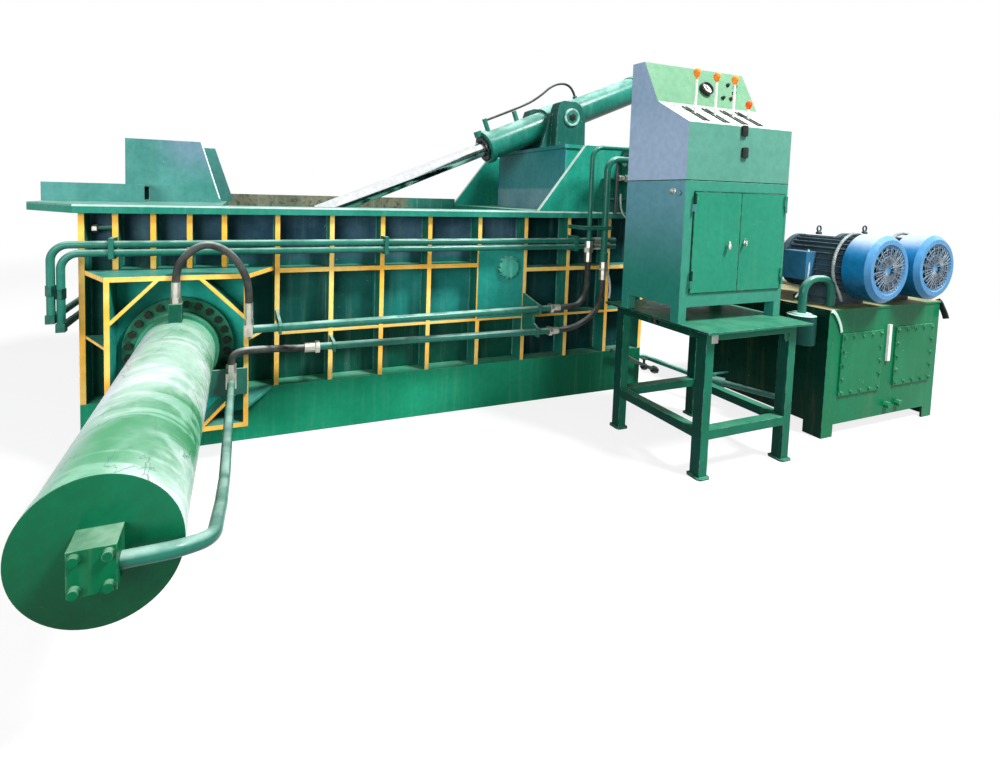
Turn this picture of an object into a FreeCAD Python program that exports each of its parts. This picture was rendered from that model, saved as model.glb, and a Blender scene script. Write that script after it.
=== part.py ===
import FreeCAD, Part

import math
import os
import re

import Sketcher

# Scrap-metal baling press. Every piece is drawn from one corner of the press box: X runs from its
# left end, Y from the outer edge of its front ribs, Z from the floor. The placement of each piece
# then puts the part's origin on the floor under the middle of the box.
# All sizes are in millimetres and live in the sheet; the pieces are tied to its cells. A size that
# starts with = follows another one.

SIZES = {
    # press box
    "box_length": 3310, "box_width": 1400, "base_height": 273, "flange_under": 1170,
    "flange_thick": 40, "flange_lip": 30, "sole_thick": 20, "skirt_thick": 20, "floor_thick": 30,
    "skirt_step": 130, "skirt_raise": 150, "web_thick": 16,
    "rib_depth": 95, "rib_thick": 25, "wall_thick": 30, "back_wall_top": 1262,
    "chamber_top": 780, "end_overhang": 285, "corner_cut": 270, "feed_right": "=box_length - 870",
    "left_rib_start": 136, "left_rib_pitch": 158, "middle_rib_start": 866,
    "middle_rib_pitch": 282, "right_rib_start": "=box_length - 1278", "right_rib_pitch": 318,
    "upper_rail_level": 868, "upper_rail_thick": 25, "lower_rail_level": 541,
    "lower_rail_thick": 16, "panel_low": 557, "panel_high": 1001, "panel_thick": 20,
    # bale chamber cover and feed guards
    "deck_thick": 30, "guard_foot": 724, "guard_head": 605, "guard_thick": 20,
    "cheek_left": 55, "cheek_top": 1580, "cheek_thick": 25, "cheek_back": 715,
    "post_width": 62, "post_back": 1180,
    "beam_left": -300, "beam_right": 185, "beam_front": 500, "beam_depth": 180,
    "beam_height": 100, "beam_wall": 12,
    # side ram and its cylinder
    "side_axis": 432, "side_level": 546, "side_tube_radius": 160, "side_bore_radius": 131,
    "side_rear": 1493, "side_cap": 48, "side_flange_radius": 238, "side_flange_thick": 40,
    "port_place": -245, "port_top": 786, "side_neck_radius": 176, "side_neck_length": 75,
    "side_gland": 120, "side_rod_radius": 100,
    "side_piston_length": 60, "mount_back": 45, "mount_thick": 40,
    "bolt_circle": 210, "bolt_across": 30, "bolt_head": 16,
    "ram_left": 176, "ram_right": 711, "ram_low": 278, "ram_gap": 3, "ram_thick": 150,
    # bracket round the side cylinder
    "bracket_left": 150, "bracket_right": 737, "bracket_low": 176, "bracket_high": 905,
    "bracket_depth": 225, "bracket_plate": 22, "bracket_foot_right": 862, "brace_reach": 190,
    # main ram and its cylinder
    "main_level": 526, "main_tube_radius": 150, "main_bore_radius": 121,
    "main_front": "=box_length - 890", "main_rear": "=box_length + 790",
    "main_rod_radius": 90, "main_flange_radius": 215, "main_flange_thick": 45,
    "right_wall_thick": 60, "main_face": "=box_length - 1080", "main_ram_thick": 170,
    "side_play": 10,
    # lid
    "hinge_place": "=box_length - 1068", "hinge_level": 863, "shaft_radius": 35, "knuckle_radius": 68,
    "lid_tip": 738, "lid_plate": 30, "lid_rib_height": 84, "lid_rib_thick": 20, "hinge_play": 0.06,
    "lug_place": 1080, "lug_level": 1107, "lug_thick": 30, "lug_gap": 92, "pin_radius": 32,
    # tower and lid cylinder
    "tower_foot": "=box_length - 848", "tower_shoulder": "=box_length - 510",
    "tower_top": 1640, "tower_plate": 30,
    "tower_inset": 20, "column_length": 340, "column_front": 237, "column_back": 1163,
    "column_lid": 25, "bearing_length": 260, "bearing_thick": 95, "bearing_gap": 300,
    "bearing_height": 345, "trunnion_place": "=box_length - 310", "trunnion_level": 1893,
    "trunnion_radius": 45,
    "barrel_radius": 107, "barrel_bore": 84, "barrel_front": 637, "barrel_rear": 860,
    "gland_radius": 122, "gland_thick": 45, "rod_radius": 55, "eye_radius": 70, "eye_thick": 80,
    "eye_pin_side": 4, "line_height": 84, "hose_thin": 9,
    "rear_port": 270, "rear_port_height": 16,
    # bale gate at the back
    "gate_edge": 15, "gate_thick": 40, "rail_lip": 16, "rail_reach": 340, "rail_end": 800,
    "gate_ram_level": 560, "gate_ram_offset": 50, "gate_ram_radius": 42, "gate_rod_radius": 22,
    "gate_ram_start": 800, "gate_ram_end": 1530,
    # stand and cabinet
    "stand_left": 2714, "stand_right": 3320, "stand_front": -989, "stand_back": -420,
    "stand_height": 709, "leg_width": 50, "table_edge": 46, "table_thick": 10, "ring_level": 229,
    "ring_depth": 44, "foot_plate": 78, "foot_thick": 8, "apron_depth": 44,
    "cabinet_left": 2662, "cabinet_right": 3361, "cabinet_front": -874, "cabinet_back": -503,
    "cabinet_low": 787, "cabinet_seam": 1394, "sheet_wall": 4, "cabinet_foot": 48,
    "desk_front": 1668, "desk_back": 1793, "desk_back_edge": -682, "panel_top": 2010,
    "panel_top_edge": -584, "door_left_edge": 2719, "left_door_width": 308,
    "door_right_edge": 3340, "door_low": 855, "door_top": 1343, "door_thick": 18,
    "door_gap": 1.5, "door_lip": 6, "hinge_radius": 5, "hinge_out": 5.3,
    "slot_1": 2795, "slot_2": 2928, "slot_3": 3053, "slot_4": 3161,
    "slot_width": 16, "slot_near": -846, "slot_far": -723, "lever_hub": 14,
    "lever_radius": 5.5, "knob_radius": 16, "gauge_place": 3024, "gauge_radius": 38,
    # power pack
    "tank_left": 3726, "tank_right": 4761, "tank_front": -898, "tank_back": -70,
    "tank_low": 70, "tank_top": 723, "tank_wall": 8, "tank_rim": 4, "tank_foot": 95,
    "motor_left_axis": 4020, "motor_right_axis": 4460, "motor_level": 950, "motor_radius": 138,
    "fin_height": 22, "cowl_front": -1000, "cowl_length": 125, "cowl_radius": 186,
    "cowl_wall": 4, "grille_radius": 130, "motor_back": -550, "pump_back": -120,
    # pipes
    "pipe_radius": 17, "line_radius": 19, "thin_radius": 14, "thick_radius": 20,
    "hose_radius": 17,
    "upper_line_high": 1030, "upper_line_low": 991, "upper_line_out": -62,
    "drop_outer": -88, "drop_inner": -50, "thin_riser": 2722, "thick_riser": 2840,
    "riser_out": -140,
}

doc = FreeCAD.newDocument("ScrapBaler")
sheet = doc.addObject("Spreadsheet::Sheet", "Sizes")
for row, (name, value) in enumerate(SIZES.items(), start=1):
    sheet.set(f"A{row}", name)
    sheet.set(f"B{row}", str(value))
    sheet.setAlias(f"B{row}", name)
doc.recompute()

WORD = re.compile(r"[a-z][a-z0-9_]*")


def linked(rule):
    """A rule such as 'box_length - wall_thick' with each of its words tied to the sheet's cell."""
    return WORD.sub(lambda w: "Sizes." + w.group(0) if w.group(0) in SIZES else w.group(0), str(rule))


def size(name):
    """The number that a cell of the sheet holds."""
    return float(sheet.get(name))


# Rules that more than one piece uses
FLANGE_TOP = "flange_under + flange_thick"
WALL_BACK = "rib_depth + wall_thick"
FAR_WALL = "box_width - rib_depth - wall_thick"
FAR_RIBS = "box_width - rib_depth"
RAM_TOP = "chamber_top - 5"
WINDOW = [("ram_left - ram_gap", "base_height"), ("ram_left - ram_gap", "chamber_top"),
          ("ram_right + ram_gap", "chamber_top"), ("ram_right + ram_gap", "base_height")]
LEAN = ("atan2(trunnion_level - lug_level; trunnion_place - lug_place)")
REACH = "sqrt((trunnion_level - lug_level)^2 + (trunnion_place - lug_place)^2)"
MIDDLE = "box_width / 2"
COLUMN_TOP = "tower_top + column_lid"

PLANES = {"XY": ("XY_Plane", 1), "XZ": ("XZ_Plane", -1), "YZ": ("YZ_Plane", 1)}


def origin_part(owner, role):
    """One of the body's own origin planes or axes."""
    for feature in owner.Origin.OriginFeatures:
        if feature.Role == role:
            return feature
    raise ValueError(role)


def body(label, across="0", along="0", up="0", lean=None):
    """A body drawn from its own corner or centre, which lies at the three given distances."""
    made = doc.addObject("PartDesign::Body", label)
    made.Label = label
    made.AllowCompound = True
    made.setExpression("Placement.Base.x", linked(f"{across} - box_length / 2"))
    made.setExpression("Placement.Base.y", linked(f"{along} - box_width / 2"))
    made.setExpression("Placement.Base.z", linked(up))
    if lean:
        made.Placement.Rotation = FreeCAD.Rotation(FreeCAD.Vector(0, 1, 0), -1)
        made.setExpression("Placement.Rotation.Angle", linked(f"-1 * ({lean})"))
    return made


def sketch(owner, plane, level="0"):
    """A sketch on one of the body's origin planes, moved along the plane's normal to a level."""
    role, sign = PLANES[plane]
    made = owner.newObject("Sketcher::SketchObject", owner.Name + "_sketch")
    made.AttachmentSupport = [(origin_part(owner, role), "")]
    made.MapMode = "FlatFace"
    made.setExpression("AttachmentOffset.Base.z", linked(f"{sign} * ({level})"))
    return made


def outline(drawing, corners):
    """Straight lines round the corners, each corner held by its two distances from the origin."""
    first = drawing.GeometryCount
    count = len(corners)
    spread = [FreeCAD.Vector(100 * math.cos(0.3 + math.tau * i / count),
                             100 * math.sin(0.3 + math.tau * i / count), 0) for i in range(count)]
    drawing.addGeometry([Part.LineSegment(spread[i], spread[(i + 1) % count])
                         for i in range(count)])
    joined = [Sketcher.Constraint("Coincident", first + i, 2, first + (i + 1) % count, 1)
              for i in range(count)]
    held = []
    for i in range(count):
        held.append(Sketcher.Constraint("DistanceX", -1, 1, first + i, 1, spread[i].x))
        held.append(Sketcher.Constraint("DistanceY", -1, 1, first + i, 1, spread[i].y))
    drawing.addConstraint(joined)
    start = drawing.ConstraintCount
    drawing.addConstraint(held)
    for i, (right, up) in enumerate(corners):
        drawing.setExpression(f"Constraints[{start + 2 * i}]", linked(right))
        drawing.setExpression(f"Constraints[{start + 2 * i + 1}]", linked(up))


def ring(drawing, right, up, radius):
    """A circle held by its centre's two distances and its radius."""
    here = drawing.GeometryCount
    drawing.addGeometry(Part.Circle(FreeCAD.Vector(20, 30, 0), FreeCAD.Vector(0, 0, 1), 10))
    start = drawing.ConstraintCount
    drawing.addConstraint([Sketcher.Constraint("DistanceX", -1, 1, here, 3, 20),
                           Sketcher.Constraint("DistanceY", -1, 1, here, 3, 30),
                           Sketcher.Constraint("Radius", here, 10)])
    for step, rule in enumerate((right, up, radius)):
        drawing.setExpression(f"Constraints[{start + step}]", linked(rule))


def box_corners(left, right, low, high):
    """The four corners of a rectangle."""
    return [(left, low), (right, low), (right, high), (left, high)]


def pad(owner, plane, near, far, outlines=(), rings=(), cut=False):
    """A prism, or a cut of that shape, from one level of a plane to another."""
    drawing = sketch(owner, plane, near)
    for corners in outlines:
        outline(drawing, corners)
    for circle in rings:
        ring(drawing, *circle)
    kind = "PartDesign::Pocket" if cut else "PartDesign::Pad"
    made = owner.newObject(kind, owner.Name + ("_cut" if cut else "_pad"))
    made.Profile = drawing
    made.setExpression("Length", linked(f"({far}) - ({near})"))
    made.Reversed = (plane == "XZ") != cut
    return made


def cut(owner, plane, near, far, outlines=(), rings=()):
    """A prism taken away from one level of a plane to another."""
    return pad(owner, plane, near, far, outlines, rings, cut=True)


def turned(owner, plane, corners, axis="H_Axis", groove=False):
    """The corners, as distance along the axis and radius, turned once round a sketch axis."""
    drawing = sketch(owner, plane)
    outline(drawing, corners)
    kind = "PartDesign::Groove" if groove else "PartDesign::Revolution"
    made = owner.newObject(kind, owner.Name + "_turned")
    made.Profile = drawing
    made.ReferenceAxis = (drawing, [axis])
    made.Angle = 360
    return made


def in_row(owner, features, axis, length, count):
    """Copies of features at even steps along one of the body's own axes."""
    made = owner.newObject("PartDesign::LinearPattern", owner.Name + "_row")
    made.Originals = list(features)
    made.Direction = (origin_part(owner, axis), [""])
    made.setExpression("Length", linked(length))
    made.Occurrences = count
    owner.Tip = made
    return made


def round_axis(owner, features, axis, count):
    """Copies of features at even steps all round one of the body's own axes."""
    made = owner.newObject("PartDesign::PolarPattern", owner.Name + "_round")
    made.Originals = list(features)
    made.Axis = (origin_part(owner, axis), [""])
    made.Angle = 360
    made.Occurrences = count
    owner.Tip = made
    return made


def regular(right, up, radius, sides, turn=0):
    """The corners of a regular polygon about a point, as a bolt head has."""
    corners = []
    for i in range(sides):
        angle = turn + 360 * i / sides
        corners.append((f"{right} + ({radius}) * cos({angle} deg)",
                        f"{up} + ({radius}) * sin({angle} deg)"))
    return corners


# ---------------------------------------------------------------- press box

def make_base_frame():
    """Sole plate, raised skirts, cross webs and the chamber's floor, welded into one base."""
    base = body("base_frame")
    pad(base, "XY", "0", "sole_thick",
        [box_corners("skirt_step", "box_length", "0", "box_width")])
    skirt = [("0", "skirt_raise"), ("skirt_step", "skirt_raise"), ("skirt_step", "0"),
             ("box_length", "0"), ("box_length", "base_height"), ("0", "base_height")]
    pad(base, "XZ", "0", "skirt_thick", [skirt])
    pad(base, "XZ", "box_width - skirt_thick", "box_width", [skirt])
    inside = box_corners("skirt_thick / 2", "box_width - skirt_thick / 2",
                         "sole_thick / 2", "base_height - floor_thick / 2")
    pad(base, "YZ", "skirt_step", "skirt_step + skirt_thick", [inside])
    pad(base, "YZ", "box_length - skirt_thick", "box_length", [inside])
    web = pad(base, "YZ", "skirt_step + (box_length - skirt_step) / 6",
              "skirt_step + (box_length - skirt_step) / 6 + web_thick", [inside])
    in_row(base, [web], "X_Axis", "(box_length - skirt_step) * 2 / 3", 5)
    pad(base, "XY", "base_height - floor_thick", "base_height",
        [box_corners("0", "box_length", "0", "box_width")])


def make_front_wall():
    """Wall plate of the chamber, with the window of the side ram."""
    wall = body("front_wall")
    pad(wall, "XZ", "rib_depth", WALL_BACK,
        [[("0", "base_height")] + WINDOW +
         [("box_length", "base_height"), ("box_length", "flange_under"), ("0", "flange_under")]],
        [("hinge_place", "hinge_level", "shaft_radius")])


def make_front_ribs():
    """Upright ribs, the two long rails between them and the flush panel round the lid's shaft."""
    ribs = body("front_ribs")
    top = "flange_under"

    def rib(left, low):
        return pad(ribs, "XZ", "0", "rib_depth",
                   [box_corners(left, f"{left} + rib_thick", low, top)])

    rib("0", "base_height")
    short = rib("left_rib_start", "bracket_high")
    in_row(ribs, [short], "X_Axis", "left_rib_pitch * 3", 4)
    middle = rib("middle_rib_start", "base_height")
    in_row(ribs, [middle], "X_Axis", "middle_rib_pitch * 3", 4)
    right = rib("right_rib_start", "base_height")
    in_row(ribs, [right], "X_Axis", "right_rib_pitch * 3", 4)
    rib("box_length - rib_thick", "base_height")
    lower_top = "lower_rail_level + lower_rail_thick"
    upper_top = "upper_rail_level + upper_rail_thick"
    second = "right_rib_start + right_rib_pitch"
    rails = [("middle_rib_start + 10", "right_rib_start + 10", "upper_rail_level", upper_top),
             (f"{second} + 10", "box_length - 10", "upper_rail_level - 36", f"{upper_top} - 36"),
             ("middle_rib_start + 10", f"{second} + 10", "lower_rail_level", lower_top),
             (f"{second} + 10", "box_length - 10", "lower_rail_level", lower_top)]
    for left, far, low, high in rails:
        pad(ribs, "XZ", "0", "rib_depth", [box_corners(left, far, low, high)])
    pad(ribs, "XZ", "0", "panel_thick",
        [box_corners("right_rib_start + 5", f"{second} + 5", "panel_low - 5", "panel_high")],
        [("hinge_place", "hinge_level", "shaft_radius")])


def make_back_wall():
    """Taller wall plate at the back with the bale window, ribbed on its outer side."""
    wall = body("back_wall")
    pad(wall, "XZ", FAR_WALL, FAR_RIBS,
        [[("0", "base_height")] + WINDOW +
         [("box_length", "base_height"), ("box_length", "flange_under"),
          ("feed_right", "flange_under"), ("feed_right", "back_wall_top"),
          ("guard_head", "back_wall_top"), ("guard_head", "flange_under"),
          ("0", "flange_under")]],
        [("hinge_place", "hinge_level", "shaft_radius")])

    def rib(left, low):
        return pad(wall, "XZ", f"{FAR_RIBS} - 1", "box_width",
                   [box_corners(left, f"{left} + rib_thick", low, "flange_under")])

    rib("0", "chamber_top + gate_edge + 60")
    short = rib("left_rib_start", "chamber_top + gate_edge + 60")
    in_row(wall, [short], "X_Axis", "left_rib_pitch * 3", 4)
    middle = rib("middle_rib_start", "base_height")
    in_row(wall, [middle], "X_Axis", "middle_rib_pitch * 3", 4)
    right = rib("right_rib_start", "base_height")
    in_row(wall, [right], "X_Axis", "right_rib_pitch * 3", 4)
    rib("box_length - rib_thick", "base_height")


def make_end_walls():
    """The two end plates; the right one carries the main cylinder in its hole."""
    ends = body("end_walls")
    span = (WALL_BACK, FAR_WALL, "base_height", "flange_under")
    pad(ends, "YZ", "0", "wall_thick", [box_corners(*span)])
    pad(ends, "YZ", "box_length - right_wall_thick", "box_length", [box_corners(*span)],
        [(MIDDLE, "main_level", "main_tube_radius")])


def make_top_flange():
    """Thick plate round the feed opening, drawn out over the left end with cut corners."""
    flange = body("top_flange")
    back = "box_width + flange_lip"
    edge = [("-15", "-1 * flange_lip"), ("box_length + 10", "-1 * flange_lip"),
            ("box_length + 10", back), ("-15", back),
            ("-1 * end_overhang", "box_width - corner_cut"), ("-1 * end_overhang", "corner_cut")]
    feed = box_corners("guard_head", "feed_right", WALL_BACK, FAR_RIBS)
    pad(flange, "XY", "flange_under", FLANGE_TOP, [edge, feed])
    cut(flange, "XY", "flange_under", FLANGE_TOP,
        [box_corners("cheek_left", "guard_head + 1", "cheek_back - cheek_thick", "cheek_back")])


def make_end_cover():
    """Deck over the bale chamber, sloping feed guard, and the cheek plate and post above it."""
    cover = body("end_cover")
    deck_top = "chamber_top + deck_thick"
    pad(cover, "XZ", WALL_BACK, FAR_WALL,
        [[("wall_thick", "chamber_top"), ("guard_foot", "chamber_top"),
          ("guard_foot", deck_top), ("guard_head", "flange_under"),
          ("guard_head - guard_thick", "flange_under"), ("guard_foot - guard_thick", deck_top),
          ("wall_thick", deck_top)]])
    slope = f"(guard_foot - guard_head) / (flange_under - chamber_top - deck_thick)"
    lean = f"(cheek_top - flange_under) * {slope}"
    pad(cover, "XZ", "cheek_back - cheek_thick", "cheek_back",
        [[("cheek_left", deck_top), ("guard_foot - guard_thick / 2", deck_top),
          ("guard_head - guard_thick / 2", "flange_under"),
          (f"guard_head - {lean}", "cheek_top"), ("cheek_left", "cheek_top")]])
    pad(cover, "XZ", "post_back - cheek_thick", "post_back",
        [[("guard_head - post_width", FLANGE_TOP), ("guard_head + 40", FLANGE_TOP),
          (f"guard_head + 40 - {lean} + 12", "cheek_top"),
          (f"guard_head - post_width - {lean} + 12", "cheek_top")]])


def make_gate_beam():
    """Hollow beam on the left overhang, open at its right end."""
    beam = body("gate_beam")
    top = f"{FLANGE_TOP} + beam_height"
    pad(beam, "YZ", "beam_left", "beam_right",
        [box_corners("beam_front", "beam_front + beam_depth", FLANGE_TOP, top)])
    cut(beam, "YZ", "beam_left + beam_wall", "beam_right",
        [box_corners("beam_front + beam_wall", "beam_front + beam_depth - beam_wall",
                     f"{FLANGE_TOP} + beam_wall", f"{top} - beam_wall")])


# ---------------------------------------------------------------- side cylinder

def make_cylinder_bracket():
    """Box of plates on the front wall that carries the side cylinder's flange."""
    frame = body("cylinder_bracket")
    front = "-1 * bracket_depth"
    inner = box_corners("bracket_left + bracket_plate", "bracket_right - bracket_plate",
                        "bracket_low + bracket_plate", "bracket_high - bracket_plate")
    outer = box_corners("bracket_left", "bracket_right", "bracket_low", "bracket_high")
    pad(frame, "XZ", front, "0", [outer, inner])
    pad(frame, "XZ", "-1 * mount_back - mount_thick", "-1 * mount_back", [outer],
        [("side_axis", "side_level", "side_tube_radius + 4")])
    # plates that run back between the ribs to the wall
    posts = "rib_depth"
    pad(frame, "XZ", "-1", posts,
        [box_corners("bracket_left", "bracket_left + bracket_plate", "base_height",
                     "bracket_high")])
    pad(frame, "XZ", "-1", posts,
        [box_corners("bracket_right - bracket_plate", "bracket_right", "base_height",
                     "bracket_high")])
    pad(frame, "XZ", "-1", posts,
        [box_corners("bracket_left", "bracket_right", "bracket_high - bracket_plate",
                     "bracket_high")])
    # top plate, drawn out to both sides along the wall
    pad(frame, "XY", "bracket_high - bracket_plate", "bracket_high",
        [[("rib_thick", "0"), ("bracket_left", front), ("bracket_right", front),
          ("bracket_foot_right", "0")]])
    # side gussets half way up, and the low one on the right
    for level in ("side_level + 40", "base_height - 12"):
        pad(frame, "XY", level, f"{level} + 14",
            [[("bracket_right - 5", "0"), ("bracket_right - 5", front),
              ("bracket_foot_right", "0")]])
    pad(frame, "XY", "side_level + 40", "side_level + 54",
        [[("rib_thick", "0"), ("bracket_left + 5", front), ("bracket_left + 5", "0")]])
    # corner plates inside the box
    width = "22"
    left, far = "bracket_left + bracket_plate", "bracket_right - bracket_plate"
    low, high = "bracket_low + bracket_plate", "bracket_high - bracket_plate"
    for side, level, in_x, in_z in ((left, high, 1, -1), (far, high, -1, -1), (far, low, -1, 1)):
        pad(frame, "XZ", front, "-1 * mount_back",
            [[(side, f"{level} + {in_z} * brace_reach"),
              (f"{side} + {in_x} * brace_reach", level),
              (f"{side} + {in_x} * (brace_reach - {width})", level),
              (side, f"{level} + {in_z} * (brace_reach - {width})")]])


def make_side_cylinder():
    """Tube, end disc, neck and flange of the side cylinder, turned about its axis."""
    cylinder = body("side_cylinder", "side_axis", "0", "side_level")
    rear = "-1 * side_rear"
    face = "-1 * mount_back - mount_thick"
    bore_end = f"{face} - side_gland"
    turned(cylinder, "YZ", [
        (rear, "0"), (rear, "side_tube_radius + 3"),
        (f"{rear} + side_cap - 4", "side_tube_radius + 3"),
        (f"{rear} + side_cap", "side_tube_radius"),
        (f"{face} - side_flange_thick - side_neck_length", "side_tube_radius"),
        (f"{face} - side_flange_thick - side_neck_length", "side_neck_radius"),
        (f"{face} - side_flange_thick", "side_neck_radius"),
        (f"{face} - side_flange_thick", "side_flange_radius"),
        (face, "side_flange_radius"), (face, "side_tube_radius + 3"),
        ("-1 * mount_back", "side_tube_radius + 3"), ("-1 * mount_back", "side_rod_radius + 0.4"),
        (bore_end, "side_rod_radius + 0.4"), (bore_end, "side_bore_radius"),
        (f"{rear} + side_cap", "side_bore_radius"), (f"{rear} + side_cap", "0")])


def make_flange_bolts():
    """Hexagon heads round the side cylinder's flange."""
    bolts = body("flange_bolts", "side_axis", "0", "side_level")
    seat = "-1 * mount_back - mount_thick - side_flange_thick"
    head = pad(bolts, "XZ", f"{seat} - bolt_head", seat,
               [regular("bolt_circle * cos(7.5 deg)", "bolt_circle * sin(7.5 deg)",
                        "bolt_across / sqrt(3)", 6)])
    round_axis(bolts, [head], "Y_Axis", 24)


def make_port_blocks():
    """The block and its four screws on the end disc, and the saddle block on the neck."""
    blocks = body("port_blocks", "side_axis", "0", "side_level")
    front = "-1 * side_rear - 67"
    pad(blocks, "XZ", front, "-1 * side_rear", [box_corners("-38", "48", "-40", "54")])
    low = pad(blocks, "XZ", f"{front} - 12", front, [], [("-24", "-25", "10")])
    in_row(blocks, [low], "X_Axis", "58", 2)
    high = pad(blocks, "XZ", f"{front} - 12", front, [], [("-24", "39", "10")])
    in_row(blocks, [high], "X_Axis", "58", 2)
    saddle = ("port_place - 30", "port_place + 30")
    pad(blocks, "XZ", *saddle,
        [box_corners("-26", "26", "side_tube_radius - 20", "port_top - side_level")])
    cut(blocks, "XZ", *saddle, [], [("0", "0", "side_tube_radius + 0.3")])


def make_side_ram():
    """Pressing head of the side ram, with its rod and piston."""
    ram = body("side_ram")
    face = WALL_BACK
    back = f"{WALL_BACK} - ram_thick"
    pad(ram, "XZ", back, face, [box_corners("ram_left", "ram_right", "ram_low", RAM_TOP)])
    piston_rear = "-1 * side_rear + side_cap + 4"
    pad(ram, "XZ", piston_rear, back, [], [("side_axis", "side_level", "side_rod_radius")])
    pad(ram, "XZ", piston_rear, f"{piston_rear} + side_piston_length", [],
        [("side_axis", "side_level", "side_bore_radius - 0.4")])


# ---------------------------------------------------------------- main cylinder

def make_main_cylinder():
    """Main cylinder through the right end wall, turned about its axis."""
    cylinder = body("main_cylinder", "0", MIDDLE, "main_level")
    gland_end = "main_front + 80"
    turned(cylinder, "XZ", [
        ("main_front", "main_rod_radius + 0.4"), ("main_front", "main_tube_radius - 0.3"),
        ("box_length", "main_tube_radius - 0.3"), ("box_length", "main_flange_radius"),
        ("box_length + main_flange_thick", "main_flange_radius"),
        ("box_length + main_flange_thick", "main_tube_radius - 0.3"),
        ("main_rear", "main_tube_radius - 0.3"), ("main_rear", "0"),
        ("main_rear - 28", "0"), ("main_rear - 28", "main_bore_radius"),
        (gland_end, "main_bore_radius"), (gland_end, "main_rod_radius + 0.4")])


def make_main_ram():
    """Pressing head across the whole chamber, with its rod and piston."""
    ram = body("main_ram")
    back = "main_face + main_ram_thick"
    pad(ram, "YZ", "main_face", back,
        [box_corners(f"{WALL_BACK} + side_play", f"{FAR_WALL} - side_play", "ram_low", RAM_TOP)])
    pad(ram, "YZ", back, "main_rear - 34", [], [(MIDDLE, "main_level", "main_rod_radius")])
    pad(ram, "YZ", "main_rear - 34 - 60", "main_rear - 34", [],
        [(MIDDLE, "main_level", "main_bore_radius - 0.4")])


# ---------------------------------------------------------------- lid, tower, lid cylinder

def make_hinge_shaft():
    """Shaft of the lid through both walls, with a scalloped nut at each end."""
    shaft = body("hinge_shaft", "hinge_place", "0", "hinge_level")
    far = "box_width"
    turned(shaft, "YZ", [("-26", "0"), ("-26", "56"), ("-20", "70"), ("0", "70"),
                         ("0", "shaft_radius"), (far, "shaft_radius"), (far, "70"),
                         (f"{far} + 20", "70"), (f"{far} + 20", "0")])
    notch = cut(shaft, "XZ", "-27", "0", [], [("70", "0", "9")])
    round_axis(shaft, [notch], "Y_Axis", 12)


def make_lid():
    """Flat pressing lid with its ribs, hinge knuckles and the two lugs for the cylinder."""
    lid = body("lid", "hinge_place", "0", "hinge_level")
    front, back = f"{WALL_BACK} + side_play", f"{FAR_WALL} - side_play"
    under = "chamber_top + 2 - hinge_level"
    top = f"{under} + lid_plate"
    rib_top = f"{top} + lid_rib_height"
    tip = "(lid_tip - hinge_place)"
    pad(lid, "XY", under, top, [box_corners(tip, "20", front, back)])
    # long ribs with a sloping nose
    rib = [(f"{tip} + 60", f"{top} - 1"), ("10", f"{top} - 1"), ("10", rib_top),
           (f"{tip} + 200", rib_top), (f"{tip} + 60", f"{top} + 25")]
    first = pad(lid, "XZ", f"{front} + 20", f"{front} + 20 + lid_rib_thick", [rib])
    in_row(lid, [first], "Y_Axis", "(box_width - 2 * rib_depth - 2 * wall_thick) * 0.26", 2)
    last = pad(lid, "XZ", f"{back} - 20 - lid_rib_thick", f"{back} - 20", [rib])
    in_row(lid, [last], "Y_Axis", "(box_width - 2 * rib_depth - 2 * wall_thick) * 0.26", 2)\
        .Reversed = True
    for place in ("0.62", "0.3", "0.12"):
        pad(lid, "YZ", f"{tip} * {place}", f"{tip} * {place} + lid_rib_thick",
            [box_corners(f"{front} + 25", f"{back} - 25", f"{top} - 1", f"{rib_top} - 12")])
    # hinge knuckles at both edges and the middle
    for low, high in ((front, f"{front} + 150"), (f"{MIDDLE} - 120", f"{MIDDLE} + 120"),
                      (f"{back} - 150", back)):
        pad(lid, "XZ", low, high, [], [("0", "0", "knuckle_radius")])
    cut(lid, "XZ", f"{front} - 5", f"{back} + 5", [], [("0", "0", "shaft_radius + hinge_play")])
    # lugs
    eye_x, eye_z = "lug_place - hinge_place", "lug_level - hinge_level"
    lug = [(f"{eye_x} - 190", f"{top} - 1"), (f"{eye_x} + 230", f"{top} - 1"),
           (f"{eye_x} + 80", f"{eye_z} + 20"), (f"{eye_x} + 55", f"{eye_z} + 62"),
           (f"{eye_x} - 55", f"{eye_z} + 62"), (f"{eye_x} - 80", f"{eye_z} + 20")]
    near = f"{MIDDLE} - lug_gap / 2 - lug_thick"
    pad(lid, "XZ", near, f"{near} + lug_thick", [lug])
    pad(lid, "XZ", f"{near} - 14", f"{near} + 1", [], [(eye_x, eye_z, "pin_radius + 18")])
    far = f"{MIDDLE} + lug_gap / 2"
    pad(lid, "XZ", far, f"{far} + lug_thick", [lug])
    pad(lid, "XZ", f"{far} + lug_thick - 1", f"{far} + lug_thick + 14", [],
        [(eye_x, eye_z, "pin_radius + 18")])


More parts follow.
